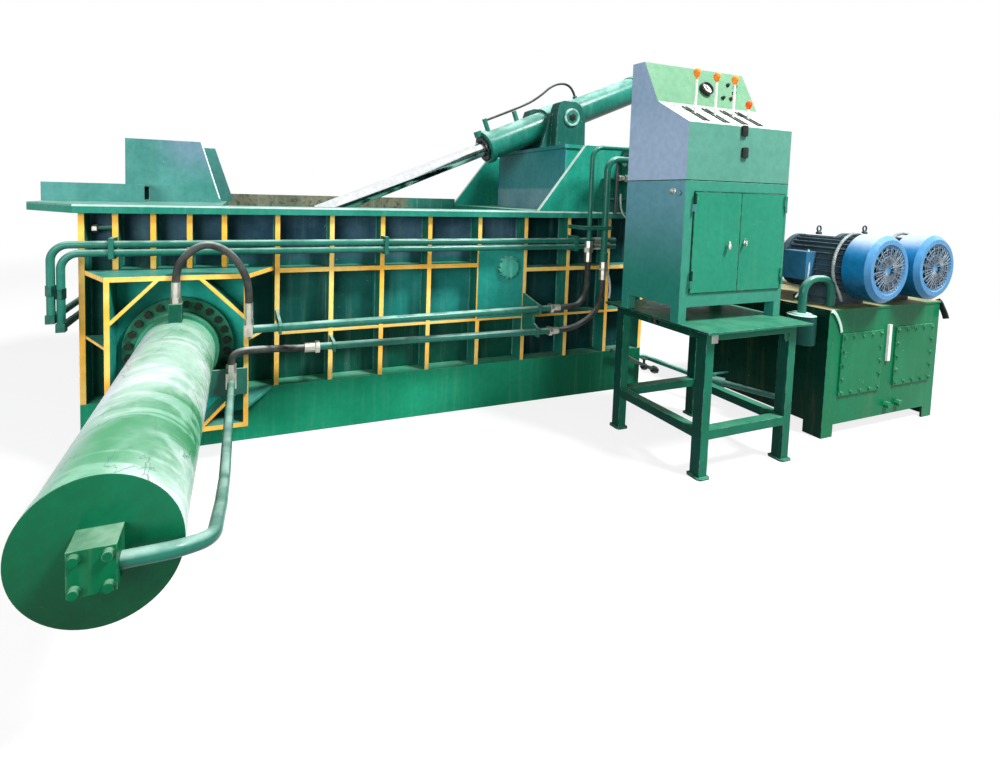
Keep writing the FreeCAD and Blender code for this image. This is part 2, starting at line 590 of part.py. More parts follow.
def make_tower():
    """Two side plates, cross plate and the column under the lid cylinder's bearings."""
    tower = body("tower")
    plate = [("tower_foot", FLANGE_TOP), ("box_length - 20", FLANGE_TOP),
             ("box_length - 20", "tower_top"), ("tower_shoulder", "tower_top")]
    pad(tower, "XZ", "tower_inset", "tower_inset + tower_plate", [plate])
    pad(tower, "XZ", "box_width - tower_inset - tower_plate", "box_width - tower_inset", [plate])
    column_end = "tower_shoulder + column_length"
    inner = box_corners("tower_shoulder + 25", f"{column_end} - 25", "column_front + 25",
                        "column_back - 25")
    pad(tower, "XY", FLANGE_TOP, "tower_top",
        [box_corners("tower_shoulder", column_end, "column_front", "column_back"), inner])
    pad(tower, "XY", "tower_top", COLUMN_TOP,
        [box_corners("tower_shoulder - 15", f"{column_end} + 15", "column_front - 10",
                     "column_back + 10")])
    pad(tower, "YZ", f"{column_end} - 30", f"{column_end} - 5",
        [box_corners("tower_inset + tower_plate - 1", "column_front + 1", FLANGE_TOP, "tower_top")])
    pad(tower, "YZ", f"{column_end} - 30", f"{column_end} - 5",
        [box_corners("column_back - 1", "box_width - tower_inset - tower_plate + 1", FLANGE_TOP,
                     "tower_top")])
    # shelves on the outer side, beside the valve block
    for rise in ("83", "213"):
        level = f"{FLANGE_TOP} + {rise}"
        pad(tower, "XY", level, f"{level} + 8",
            [box_corners("tower_shoulder + 130", "box_length - 30", "-70", "tower_inset + 1")])


def make_trunnion_bearings():
    """The two bearing blocks of the lid cylinder, each with a gusset towards the lid."""
    blocks = body("trunnion_bearings", "trunnion_place", "0", "0")
    half = "bearing_length / 2"
    top = f"{COLUMN_TOP} + bearing_height"
    shape = [(f"-1 * {half}", COLUMN_TOP), (half, COLUMN_TOP), (f"{half} - 8", "trunnion_level"),
             (f"{half} - 45", f"{top} - 25"), (f"{half} - 95", top), (f"-1 * {half} + 60", top),
             (f"-1 * {half} + 28", f"{top} - 14"), (f"-1 * {half} + 12", f"{top} - 60")]
    gusset = [("tower_shoulder - trunnion_place - 10", COLUMN_TOP),
              (f"-1 * {half} + 5", COLUMN_TOP), (f"-1 * {half} + 15", f"{top} - 90"),
              (f"-1 * {half} + 2", f"{top} - 90")]
    bore = ("0", "trunnion_level", "trunnion_radius + 0.05")
    near = f"{MIDDLE} - bearing_gap / 2"
    pad(blocks, "XZ", f"{near} - bearing_thick", near, [shape], [bore])
    pad(blocks, "XZ", f"{near} - 25", near, [gusset])
    far = f"{MIDDLE} + bearing_gap / 2"
    pad(blocks, "XZ", far, f"{far} + bearing_thick", [shape], [bore])
    pad(blocks, "XZ", far, f"{far} + 25", [gusset])


def make_lid_cylinder():
    """Barrel, gland and trunnions of the lid cylinder; X runs along it, towards its rear."""
    barrel = body("lid_cylinder", "trunnion_place", MIDDLE, "trunnion_level", LEAN)
    front, rear = "-1 * barrel_front", "barrel_rear"
    turned(barrel, "XZ", [
        (front, "rod_radius + 0.4"), (front, "gland_radius - 14"),
        (f"{front} + 6", "gland_radius"), (f"{front} + gland_thick", "gland_radius"),
        (f"{front} + gland_thick", "barrel_radius"), ("-90", "barrel_radius"),
        ("-90", "barrel_radius + 22"), ("90", "barrel_radius + 22"), ("90", "barrel_radius"),
        (f"{rear} - 40", "barrel_radius"), (f"{rear} - 40", "barrel_radius + 6"),
        (rear, "barrel_radius + 6"), (rear, "0"), (f"{rear} - 60", "0"),
        (f"{rear} - 60", "barrel_bore"), (f"{front} + 90", "barrel_bore"),
        (f"{front} + 90", "rod_radius + 0.4")])
    inner = "barrel_radius + 10"
    outer = "bearing_gap / 2 + bearing_thick + 12"
    pad(barrel, "XZ", f"-1 * ({outer})", f"-1 * ({inner})", [], [("0", "0", "trunnion_radius")])
    pad(barrel, "XZ", inner, outer, [], [("0", "0", "trunnion_radius")])
    # stand-offs of the oil hose, its rear port, and the locking lug on the gland
    seat = "barrel_radius - 6"
    for place, height in (("-560", "line_height + 14"), ("-300", "line_height - hose_thin"),
                          ("rear_port", "rear_port_height")):
        pad(barrel, "XZ", "-14", "14",
            [box_corners(f"{place} - 12", f"{place} + 12", seat, f"barrel_radius + {height}")])
    pad(barrel, "XZ", "-26", "26",
        [box_corners(f"{front} - 30", f"{front} + 8", "gland_radius - 30", "gland_radius + 14")])


def make_lid_rod():
    """Polished rod of the lid cylinder, its piston, and the eye with its pin."""
    rod = body("lid_rod", "trunnion_place", MIDDLE, "trunnion_level", LEAN)
    eye = f"-1 * {REACH}"
    piston = f"{eye} + 1550"
    turned(rod, "XZ", [
        (f"{eye} + eye_radius - 12", "0"), (f"{eye} + eye_radius - 12", "rod_radius - 12"),
        (f"{eye} + eye_radius + 30", "rod_radius - 12"), (f"{eye} + eye_radius + 38", "rod_radius"),
        (piston, "rod_radius"), (piston, "barrel_bore - 0.4"),
        (f"{piston} + 60", "barrel_bore - 0.4"), (f"{piston} + 60", "0")])
    pad(rod, "XZ", "-1 * eye_thick / 2", "eye_thick / 2", [], [(eye, "0", "eye_radius")])
    pad(rod, "XZ", "-1 * eye_thick / 2 - eye_pin_side", "eye_thick / 2 + eye_pin_side", [],
        [(eye, "0", "pin_radius")])


# ---------------------------------------------------------------- bale gate

def make_gate():
    """Sliding gate behind the bale window, with the lug and rod of its cylinder."""
    gate = body("gate")
    left, right = "ram_left - ram_gap - gate_edge", "ram_right + ram_gap + gate_edge"
    inner = f"{FAR_RIBS} + 0.3"
    outer = f"{inner} + gate_thick"
    top = "chamber_top + gate_edge"
    pad(gate, "XZ", inner, outer, [box_corners(left, right, "base_height + 0.5", top)])
    rib = pad(gate, "XZ", f"{outer} - 1", f"{outer} + 30",
              [box_corners(f"{left} + 60", f"{left} + 80", "base_height + 60", f"{top} - 60")])
    in_row(gate, [rib], "X_Axis", f"({right}) - ({left}) - 180", 4)
    axis = "box_width + gate_ram_offset"
    pad(gate, "XZ", f"{outer} - 1", f"{axis} + 30",
        [box_corners(f"{right} - 34", f"{right} - 4", "gate_ram_level - 45",
                     "gate_ram_level + 45")])
    pad(gate, "YZ", f"{right} - 5", "gate_ram_end - 60", [],
        [(axis, "gate_ram_level", "gate_rod_radius")])
    pad(gate, "YZ", "gate_ram_end - 60", "gate_ram_end - 30", [],
        [(axis, "gate_ram_level", "gate_ram_radius - 8.4")])


def make_gate_guides():
    """Upper and lower guide rails of the gate on the outside of the back wall."""
    rails = body("gate_guides")
    slide = f"{FAR_RIBS} + gate_thick + 0.6"
    lip = f"{slide} + rail_lip"
    top = "chamber_top + gate_edge"
    upper = [(FAR_RIBS, f"{top} + 0.5"), (slide, f"{top} + 0.5"), (slide, f"{top} - 25"),
             (lip, f"{top} - 25"), (lip, f"{top} + 30"), (FAR_RIBS, f"{top} + 30")]
    pad(rails, "YZ", "-1 * rail_reach", "rail_end", [upper])
    lower = [(slide, "base_height"), (lip, "base_height"), (lip, "base_height + 25"),
             (slide, "base_height + 25")]
    pad(rails, "YZ", "-1 * rail_reach", "rail_end", [lower])
    pad(rails, "YZ", "-1 * rail_reach", "0",
        [box_corners(FAR_RIBS, lip, "base_height - 22", "base_height")])


def make_gate_cylinder():
    """Barrel of the gate cylinder on two feet against the back ribs."""
    barrel = body("gate_cylinder", "0", "box_width + gate_ram_offset", "gate_ram_level")
    turned(barrel, "XZ", [
        ("gate_ram_start", "gate_rod_radius + 0.4"), ("gate_ram_start", "gate_ram_radius + 6"),
        ("gate_ram_start + 40", "gate_ram_radius + 6"),
        ("gate_ram_start + 40", "gate_ram_radius"), ("gate_ram_end", "gate_ram_radius"),
        ("gate_ram_end", "0"), ("gate_ram_end - 25", "0"),
        ("gate_ram_end - 25", "gate_ram_radius - 8"),
        ("gate_ram_start + 60", "gate_ram_radius - 8"),
        ("gate_ram_start + 60", "gate_rod_radius + 0.4")])
    port = pad(barrel, "XY", "gate_ram_radius - 4", "gate_ram_radius + 12",
               [box_corners("gate_ram_start + 96", "gate_ram_start + 132", "-16", "16")])
    in_row(barrel, [port], "X_Axis", "gate_ram_end - gate_ram_start - 154", 2)
    foot = pad(barrel, "YZ", "middle_rib_start", "middle_rib_start + rib_thick",
               [[("-1 * gate_ram_offset", "-60"), ("10", "-60"), ("10", "-42"), ("-20", "-38"),
                 ("-38", "-20"), ("-38", "20"), ("-20", "38"), ("10", "42"), ("10", "60"),
                 ("-1 * gate_ram_offset", "60")]])
    in_row(barrel, [foot], "X_Axis", "middle_rib_pitch * 2", 2)


# ---------------------------------------------------------------- stand and cabinet

def make_stand():
    """Table of square tube: four legs on foot plates, lower ring, apron and top plate."""
    stand = body("stand")
    legs = []
    for left in ("stand_left", "stand_right - leg_width"):
        for near in ("stand_front", "stand_back - leg_width"):
            legs.append((left, f"{left} + leg_width", near, f"{near} + leg_width"))
    feet_out = "(foot_plate - leg_width) / 2"
    pad(stand, "XY", "0", "foot_thick",
        [[(f"{a} - {feet_out} + 12", f"{c} - {feet_out}"),
          (f"{b} + {feet_out} - 12", f"{c} - {feet_out}"),
          (f"{b} + {feet_out}", f"{c} - {feet_out} + 12"),
          (f"{b} + {feet_out}", f"{d} + {feet_out} - 12"),
          (f"{b} + {feet_out} - 12", f"{d} + {feet_out}"),
          (f"{a} - {feet_out} + 12", f"{d} + {feet_out}"),
          (f"{a} - {feet_out}", f"{d} + {feet_out} - 12"),
          (f"{a} - {feet_out}", f"{c} - {feet_out} + 12")] for a, b, c, d in legs])
    pad(stand, "XY", "foot_thick", "stand_height - table_thick",
        [box_corners(a, b, c, d) for a, b, c, d in legs])
    frame = box_corners("stand_left", "stand_right", "stand_front", "stand_back")
    hollow = box_corners("stand_left + leg_width", "stand_right - leg_width",
                         "stand_front + leg_width", "stand_back - leg_width")
    pad(stand, "XY", "ring_level - ring_depth", "ring_level", [frame, hollow])
    pad(stand, "XY", "stand_height - table_thick - apron_depth", "stand_height - table_thick",
        [frame, hollow])
    pad(stand, "XY", "stand_height - table_thick", "stand_height",
        [box_corners("stand_left - table_edge", "stand_right + table_edge",
                     "stand_front - table_edge", "stand_back + table_edge")])


def make_cabinet():
    """Sheet-metal lower case with its door opening, shelf, feet and the side latch."""
    case = body("cabinet")
    sides = ("cabinet_left", "cabinet_right", "cabinet_front", "cabinet_back")
    pad(case, "XY", "cabinet_low", "cabinet_seam", [box_corners(*sides)])
    cut(case, "XY", "cabinet_low + sheet_wall", "cabinet_seam - sheet_wall",
        [box_corners("cabinet_left + sheet_wall", "cabinet_right - sheet_wall",
                     "cabinet_front + sheet_wall", "cabinet_back - sheet_wall")])
    cut(case, "XZ", "cabinet_front - 1", "cabinet_front + sheet_wall + 1",
        [box_corners("door_left_edge - door_gap", "door_right_edge + door_gap",
                     "door_low - door_gap", "door_top + door_gap")])
    foot_low = "stand_height"
    for left in ("cabinet_left", "cabinet_right - cabinet_foot"):
        for near in ("cabinet_front", "cabinet_back - cabinet_foot"):
            pad(case, "XY", foot_low, "cabinet_low",
                [box_corners(left, f"{left} + cabinet_foot", near, f"{near} + cabinet_foot")])
    # hinge pins of the doors, each standing on a knuckle with its leaf
    axis = "cabinet_front - door_lip - hinge_out"
    for edge, way in (("door_left_edge", -1), ("door_right_edge", 1)):
        for level in ("door_low + 60", "door_top - 60"):
            pad(case, "XY", f"{level} - 35", f"{level} - 0.3", [], [(edge, axis, "hinge_radius")])
            pad(case, "XY", f"{level} - 35", f"{level} + 48", [], [(edge, axis, "3")])
            pad(case, "XY", f"{level} - 35", f"{level} - 0.3",
                [[(edge, f"{axis} - 2"), (f"{edge} + {way} * 8", f"{axis} - 2"),
                  (f"{edge} + {way} * 8", "cabinet_front + 1"), (edge, "cabinet_front + 1")]])
    pad(case, "YZ", "cabinet_left - 14", "cabinet_left + 1", [],
        [("cabinet_front + 26", "1334", "11")])


SLOTS = ("slot_1", "slot_2", "slot_3", "slot_4")


def make_console():
    """Upper case with the slotted desk, the gauge's riser panel, its gauge case and two lamps."""
    desk = body("console")
    profile = [("cabinet_front", "cabinet_seam"), ("cabinet_back", "cabinet_seam"),
               ("cabinet_back", "panel_top + 4"), ("panel_top_edge", "panel_top"),
               ("desk_back_edge", "desk_back"), ("cabinet_front", "desk_front")]
    wall = "sheet_wall"
    hollow = [(f"cabinet_front + {wall}", f"cabinet_seam + {wall}"),
              (f"cabinet_back - {wall}", f"cabinet_seam + {wall}"),
              (f"cabinet_back - {wall}", f"panel_top + 4 - {wall}"),
              (f"panel_top_edge + {wall}", f"panel_top - {wall}"),
              (f"desk_back_edge + 2 * {wall}", f"desk_back - 1.5 * {wall}"),
              (f"cabinet_front + {wall}", f"desk_front - 1.5 * {wall}")]
    pad(desk, "YZ", "cabinet_left", "cabinet_right", [profile])
    cut(desk, "YZ", f"cabinet_left + {wall}", f"cabinet_right - {wall}", [hollow])
    cut(desk, "XY", "desk_front - 30", "desk_back + 10",
        [box_corners(f"{slot} - slot_width / 2", f"{slot} + slot_width / 2",
                     "slot_near", "slot_far") for slot in SLOTS])


def on_panel(label, along, up):
    """A body whose Z stands out of the riser panel, at a place across it and a height on it."""
    made = doc.addObject("PartDesign::Body", label)
    made.Label = label
    made.AllowCompound = True
    depth = f"(desk_back_edge + (panel_top_edge - desk_back_edge) * ({up}))"
    level = f"(desk_back + (panel_top - desk_back) * ({up}))"
    made.setExpression("Placement.Base.x", linked(f"{along} - box_length / 2"))
    made.setExpression("Placement.Base.y", linked(f"{depth} - box_width / 2"))
    made.setExpression("Placement.Base.z", linked(level))
    made.Placement.Rotation = FreeCAD.Rotation(FreeCAD.Vector(1, 0, 0), 60)
    made.setExpression("Placement.Rotation.Angle", linked(
        "90 - atan2(panel_top_edge - desk_back_edge; panel_top - desk_back) / (1 deg)"))
    return made


BUTTONS = (("110", "0.28"), ("169", "0.28"), ("209", "0.45"))
PANEL_SLOPE = "sqrt((panel_top_edge - desk_back_edge)^2 + (panel_top - desk_back)^2)"


def make_panel_fittings():
    """Gauge case with its bezel, two pilot lamps and the collars of the push buttons."""
    gauge = on_panel("panel_fittings", "gauge_place", "0.45")
    turned(gauge, "XZ", [("0", "0"), ("gauge_radius", "0"), ("gauge_radius", "20"),
                         ("gauge_radius - 5", "24"), ("gauge_radius - 5", "12"), ("0", "12")],
           "V_Axis")
    for right, up in (("186", "50"), ("236", "42")):
        pad(gauge, "XY", "0", "8", [], [(right, up, "10")])
        pad(gauge, "XY", "8", "15", [], [(right, up, "7")])
    for right, up in BUTTONS:
        over = f"({up} - 0.45) * {PANEL_SLOPE}"
        pad(gauge, "XY", "0", "9", [], [(right, over, "10"), (right, over, "7.4")])


def make_gauge_pointer():
    """Pointer of the pressure gauge on its hub."""
    pointer = on_panel("gauge_pointer", "gauge_place", "0.45")
    pad(pointer, "XY", "13", "15", [[("-3", "-6"), ("3", "-6"), ("1", "26"), ("-1", "26")]])
    pad(pointer, "XY", "12.3", "17", [], [("0", "0", "4")])


def make_buttons():
    """Three push buttons below the gauge, each guided in its collar."""
    for number, (right, up) in enumerate(BUTTONS, start=1):
        button = on_panel(f"button_{number}", f"gauge_place + {right}", up)
        pad(button, "XY", "4.5", "13", [], [("0", "0", "7")])
        pad(button, "XY", "12", "15", [], [("0", "0", "6")])


def make_levers():
    """Four valve levers: each a round hub under its slot, a thin rod and a tapered knob."""
    for number, (slot, rise) in enumerate(zip(SLOTS, ("235", "228", "225", "110")), start=1):
        lever = body(f"lever_{number}", slot, "(slot_near + slot_far) / 2", "desk_front - 30")
        foot = f"(30 + {rise})"
        pad(lever, "YZ", "-10", "10", [], [("0", "0", "lever_hub")])
        turned(lever, "XZ", [
            ("0", "lever_hub / 2"), ("lever_radius", "lever_hub / 2"), ("lever_radius", foot),
            ("knob_radius - 7", f"{foot} + 2"), ("knob_radius", f"{foot} + 20"),
            ("knob_radius - 1", f"{foot} + 32"), ("knob_radius - 7", f"{foot} + 40"),
            ("0", f"{foot} + 42")], "V_Axis")


def make_doors():
    """The two cabinet doors with their hinges and lock."""
    front = "cabinet_front - door_lip"
    middle = "door_left_edge + left_door_width"
    sides = {"left_door": ("door_left_edge", f"{middle} - door_gap / 2", 1),
             "right_door": (f"{middle} + door_gap / 2", "door_right_edge", -1)}
    for name, (left, right, way) in sides.items():
        door = body(name)
        edges = (left, right, "door_low", "door_top")
        pad(door, "XZ", front, f"{front} + door_thick", [box_corners(*edges)])
        cut(door, "XZ", f"{front} + 3", f"{front} + door_thick",
            [box_corners(f"{left} + 12", f"{right} - 12", "door_low + 12", "door_top - 12")])
        lock = f"{middle} - 62" if way == 1 else f"{middle} + 40"
        level = f"(door_low + door_top) / 2 - {way} * 7"
        pad(door, "XZ", f"{front} - 7", f"{front} + 1", [], [(lock, level, "11")])
        edge = left if way == 1 else right
        axis = f"{front} - hinge_out"
        leaf = pad(door, "XY", "door_low + 60", "door_low + 110",
                   [[(f"{edge} + {way} * 3.5", f"{axis} - 3"),
                     (f"{edge} + {way} * 12", f"{axis} - 3"), (f"{edge} + {way} * 12", f"{front} + 1"),
                     (f"{edge} + {way} * 3.5", f"{front} + 1")]])
        barrel = pad(door, "XY", "door_low + 60", "door_low + 110", [],
                     [(edge, axis, "hinge_radius"), (edge, axis, "3.05")])
        in_row(door, [leaf, barrel], "Z_Axis", "door_top - door_low - 120", 2)


# ---------------------------------------------------------------- power pack

def make_tank():
    """Hollow oil tank with its rimmed top and four angle feet."""
    tank = body("tank")
    sides = ("tank_left", "tank_right", "tank_front", "tank_back")
    pad(tank, "XY", "tank_low", "tank_top", [box_corners(*sides)])
    cut(tank, "XY", "tank_low + tank_wall", "tank_top - tank_wall",
        [box_corners("tank_left + tank_wall", "tank_right - tank_wall",
                     "tank_front + tank_wall", "tank_back - tank_wall")])
    pad(tank, "XY", "tank_top - 12", "tank_top",
        [box_corners("tank_left - tank_rim", "tank_right + tank_rim",
                     "tank_front - tank_rim", "tank_back + tank_rim")])
    for side, way in (("tank_left", 1), ("tank_right", -1)):
        for near, turn in (("tank_front", 1), ("tank_back", -1)):
            wide, thick = "tank_foot", "10"
            pad(tank, "XY", "0", "tank_low + 1",
                [[(side, near), (f"{side} + {way} * {wide}", near),
                  (f"{side} + {way} * {wide}", f"{near} + {turn} * {thick}"),
                  (f"{side} + {way} * {thick}", f"{near} + {turn} * {thick}"),
                  (f"{side} + {way} * {thick}", f"{near} + {turn} * {wide}"),
                  (side, f"{near} + {turn} * {wide}")]])


# Foot of the return pipe on its filter, as X, Y, Z
RETURN_FOOT = (3655, -800, 690)


def make_tank_fittings():
    """Cleaning covers with bolts, level gauge, drain plugs, filters and the lifting hook."""
    parts = body("tank_fittings")
    front = "tank_front"
    for left, right, low, high in (("3839", "4204", "231", "583"), ("4330", "4700", "240", "590")):
        pad(parts, "XZ", f"{front} - 8", front, [box_corners(left, right, low, high)])
        heads = []
        for i in range(5):
            x = f"{left} + 18 + {i} * ({right} - {left} - 36) / 4"
            heads.append(regular(x, f"{low} + 18", "9", 6))
            heads.append(regular(x, f"{high} - 18", "9", 6))
        for i in range(1, 4):
            z = f"{low} + 18 + {i} * ({high} - {low} - 36) / 4"
            heads.append(regular(f"{left} + 18", z, "9", 6))
            heads.append(regular(f"{right} - 18", z, "9", 6))
        pad(parts, "XZ", f"{front} - 15", f"{front} - 7.5", heads)
    pad(parts, "XZ", f"{front} - 12", front, [box_corners("4250", "4275", "395", "610")])
    plug = pad(parts, "XZ", f"{front} - 22", front, [regular("4288", "130", "19", 6)])
    in_row(parts, [plug], "X_Axis", "106", 2)
    # return filter beside the tank, under its pale lid
    (x, y, z), beside = RETURN_FOOT, "tank_left - 20"
    pad(parts, "XY", "tank_top - 203", f"{z - 10}", [], [(f"{x}", f"{y}", "68")])
    pad(parts, "XY", f"{z - 10}", f"{z}", [], [(f"{x}", f"{y}", "46")])
    pad(parts, "YZ", beside, "tank_left",
        [box_corners(f"{y - 40}", f"{y + 40}", "tank_top - 170", "tank_top - 90")])
    pad(parts, "XY", "tank_top", "tank_top + 70", [], [("4640", "-250", "45")])
    pad(parts, "XY", "tank_top + 70", "tank_top + 95", [], [("4640", "-250", "56")])
    pad(parts, "YZ", "tank_right", "tank_right + 26",
        [[("tank_front + 20", "640"), ("tank_front + 60", "640"), ("tank_front + 60", "700"),
          ("tank_front + 20", "700")]])


MOTORS = (("1", "motor_left_axis"), ("2", "motor_right_axis"))


def make_motors():
    """Finned motor bodies with feet, terminal box, shaft end and bell housing."""
    for number, axis in MOTORS:
        motor = body(f"motor_{number}", axis, "0", "motor_level")
        start = "cowl_front + cowl_length - 12"
        turned(motor, "YZ", [
            ("cowl_front + 50", "0"), ("cowl_front + 50", "17"), (start, "17"),
            (start, "motor_radius"), ("motor_back", "motor_radius"),
            ("motor_back", "motor_radius + 24"), ("motor_back + 24", "motor_radius + 24"),
            ("motor_back + 24", "110"), ("motor_back + 130", "92"), ("motor_back + 130", "0")])
        fin = pad(motor, "XZ", "cowl_front + cowl_length + 6", "motor_back - 10",
                  [box_corners("-3", "3", "motor_radius - 4", "motor_radius + fin_height")])
        round_axis(motor, [fin], "Y_Axis", 28)
        pad(motor, "XZ", "cowl_front + cowl_length + 60", "motor_back - 60",
            [[("-145", "tank_top - motor_level"), ("-145", "tank_top - motor_level + 26"),
              ("-100", "tank_top - motor_level + 34"), ("-80", "-90"), ("80", "-90"),
              ("100", "tank_top - motor_level + 34"), ("145", "tank_top - motor_level + 26"),
              ("145", "tank_top - motor_level")]])
        pad(motor, "YZ", "-1 * motor_radius - 90", "-1 * motor_radius + 20",
            [box_corners("motor_back - 170", "motor_back - 40", "-95", "70")])


def make_cowls():
    """Fan cowls, each with its grille of slots."""
    for number, axis in MOTORS:
        cowl = body(f"cowl_{number}", axis, "cowl_front", "motor_level")
        wall = "cowl_wall"
        turned(cowl, "YZ", [
            ("8", "0"), ("8", "grille_radius"), ("0", "grille_radius + 8"),
            ("0", "cowl_radius - 22"), ("20", "cowl_radius"), ("cowl_length", "cowl_radius"),
            ("cowl_length", f"cowl_radius - {wall}"), ("20 + 2", f"cowl_radius - {wall}"),
            (f"{wall}", f"cowl_radius - 22 - {wall}"), (f"{wall}", f"grille_radius + 8 + {wall}"),
            (f"8 + {wall}", f"grille_radius + {wall}"), (f"8 + {wall}", "0")])
        slots = [[("26", "3"), ("26", "-3"), ("66", "-9"), ("66", "9")],
                 [("74", "10"), ("74", "-10"), ("122", "-18"), ("122", "18")]]
        gap = cut(cowl, "XZ", "6", f"10 + {wall}", slots)
        round_axis(cowl, [gap], "Y_Axis", 16)
        # clips that seat the cowl on the motor's end shield
        clip = pad(cowl, "XZ", "cowl_length - 20", "cowl_length",
                   [box_corners("-12", "12", "motor_radius + 0.3", "cowl_radius - 2")])
        round_axis(cowl, [clip], "Y_Axis", 4)


def make_fans():
    """Cooling fans on the motor shafts: a hub with seven blades."""
    for number, axis in MOTORS:
        fan = body(f"fan_{number}", axis, "cowl_front + 45", "motor_level")
        pad(fan, "XZ", "0", "50", [], [("0", "0", "38"), ("0", "0", "17.05")])
        blade = pad(fan, "XZ", "5", "45",
                    [[("-5", "34"), ("5", "34"), ("16", "150"), ("0", "152")]])
        round_axis(fan, [blade], "Y_Axis", 7)


def make_pumps():
    """Pump bodies behind the bell housings, with their outlet blocks."""
    pumps = body("pumps")
    for _, axis in MOTORS:
        start = "motor_back + 130"
        pad(pumps, "XZ", start, "pump_back", [], [(axis, "motor_level", "80")])
        pad(pumps, "XZ", f"{start} + 30", f"{start} + 90",
            [box_corners(f"{axis} - 45", f"{axis} + 45", "tank_top", "motor_level - 60")])


# ---------------------------------------------------------------- pipes, hoses, valves

# Ends of the pipes that hoses and fittings meet, as X, Y, Z
HIGH_LINE_START, HIGH_LINE_END = (756, -245, 646), (2440, -158, 634)
LOW_LINE_START, LOW_LINE_END = (1088, -96, 492), (2440, -152, 494)
REAR_PIPE_TOP = (662, -260, 456)
SUCTION_VALVE = ((3500, -330, 162), (3570, -440, 160))


def tube(label, runs, bend=None):
    """Round tubes along routes of straight runs and tangent arcs; prints each arc's radius."""
    solids = []
    for points, radius in runs:
        corners = [FreeCAD.Vector(*point) for point in points]
        edges, last, smallest = [], corners[0], 1e9
        for before, here, after in zip(corners, corners[1:], corners[2:]):
            come, leave = (here - before), (after - here)
            shorter = min(come.Length, leave.Length)
            come.normalize()
            leave.normalize()
            half = come.getAngle(leave) / 2
            if bend:
                turn = min(bend, 0.45 * shorter / math.tan(half))
            else:
                turn = 0.45 * shorter / math.tan(half)
            smallest = min(smallest, turn)
            setback = turn * math.tan(half)
            start, end = here - come * setback, here + leave * setback
            inward = leave - come
            inward.normalize()
            middle = here + inward * (turn / math.cos(half) - turn)
            if (start - last).Length > 1e-6:
                edges.append(Part.LineSegment(last, start).toShape())
            edges.append(Part.Arc(start, middle, end).toShape())
            last = end
        edges.append(Part.LineSegment(last, corners[-1]).toShape())
        path = Part.Wire(edges)
        first = corners[1] - corners[0]
        section = Part.Wire(Part.Circle(corners[0], first, radius).toShape())
        solid = path.makePipeShell([section], True, False)
        expected = math.pi * radius ** 2 * path.Length
        print(f"{label}: length {path.Length:.0f}, least bend {smallest:.0f}, "
              f"volume ratio {solid.Volume / expected:.4f}")
        solids.append(solid)
    made = doc.addObject("Part::Feature", label)
    made.Label = label
    made.Shape = solids[0] if len(solids) == 1 else Part.makeCompound(solids)
    made.setExpression("Placement.Base.x", linked("-1 * box_length / 2"))
    made.setExpression("Placement.Base.y", linked("-1 * box_width / 2"))
    return made


def make_pipes():
    """Long pipes along the front wall, the risers, the rear pipe and the two tank pipes."""
    radius, line = size("pipe_radius"), size("line_radius")
    out = size("upper_line_out")
    high, low = size("upper_line_high"), size("upper_line_low")
    wide, small = size("drop_outer"), size("drop_inner")
    back = size("box_width") + size("gate_ram_offset")
    gate_port = size("gate_ram_level") + size("gate_ram_radius") + 36
    tube("wall_pipes", [
        ([(2990, out, high), (wide, out, high), (wide, out, 720)], radius),
        ([(2990, out, low), (small, out, low), (small, out, 680)], radius),
        ([HIGH_LINE_START, HIGH_LINE_END], line),
        ([LOW_LINE_START, LOW_LINE_END], line),
        ([(wide, 90, 700), (wide, 1100, 700), (wide, 1100, 930), (wide, back, 930),
          (1490, back, 930), (1490, back, gate_port)], radius),
        ([(small, 90, 660), (small, 1140, 660), (small, 1140, 885), (small, back, 885),
          (914, back, 885), (914, back, gate_port)], radius),
    ], bend=70)
    top = size("tower_top")
    thin, thick, off = size("thin_riser"), size("thick_riser"), size("riser_out")
    tube("riser_pipes", [
        ([(thin, off, 1034), (thin, off, top - 30), (3093, off, top - 26)], size("thin_radius")),
        ([(thick, off, 962), (thick, off, top - 97), (3093, off, top - 95)],
         size("thick_radius")),
        ([(thick, off, 961.7), (thick, off, 903)], 26),
        ([(3175, -170, top - 100), (3175, size("cabinet_back"), top - 100)], radius),
        ([(3175, -170, top - 160), (3175, size("cabinet_back"), top - 160)], radius),
    ], bend=75)
    x, y, z = REAR_PIPE_TOP
    tube("rear_pipe", [
        ([(480, -1527, 542), (585, -1527, 542), (650, -1480, 520), (x - 4, -1290, 478),
          (x - 2, -1080, 425), (x, y - 60, 410), (x, y - 24, 410)], radius)], bend=95)
    start, end = SUCTION_VALVE
    x, y, z = RETURN_FOOT
    tube("tank_pipes", [
        ([(x, y, z + 0.3), (x, y, 880), (x + 190, y - 30, 880), (x + 190, y - 30, 723)], 20),
        ([(size("box_length"), 60, 190), (size("box_length") + 80, 60, 190), start], radius),
        ([start, end], 30),
        ([end, (3690, -700, 156), (3726, -700, 156)], radius)], bend=85)


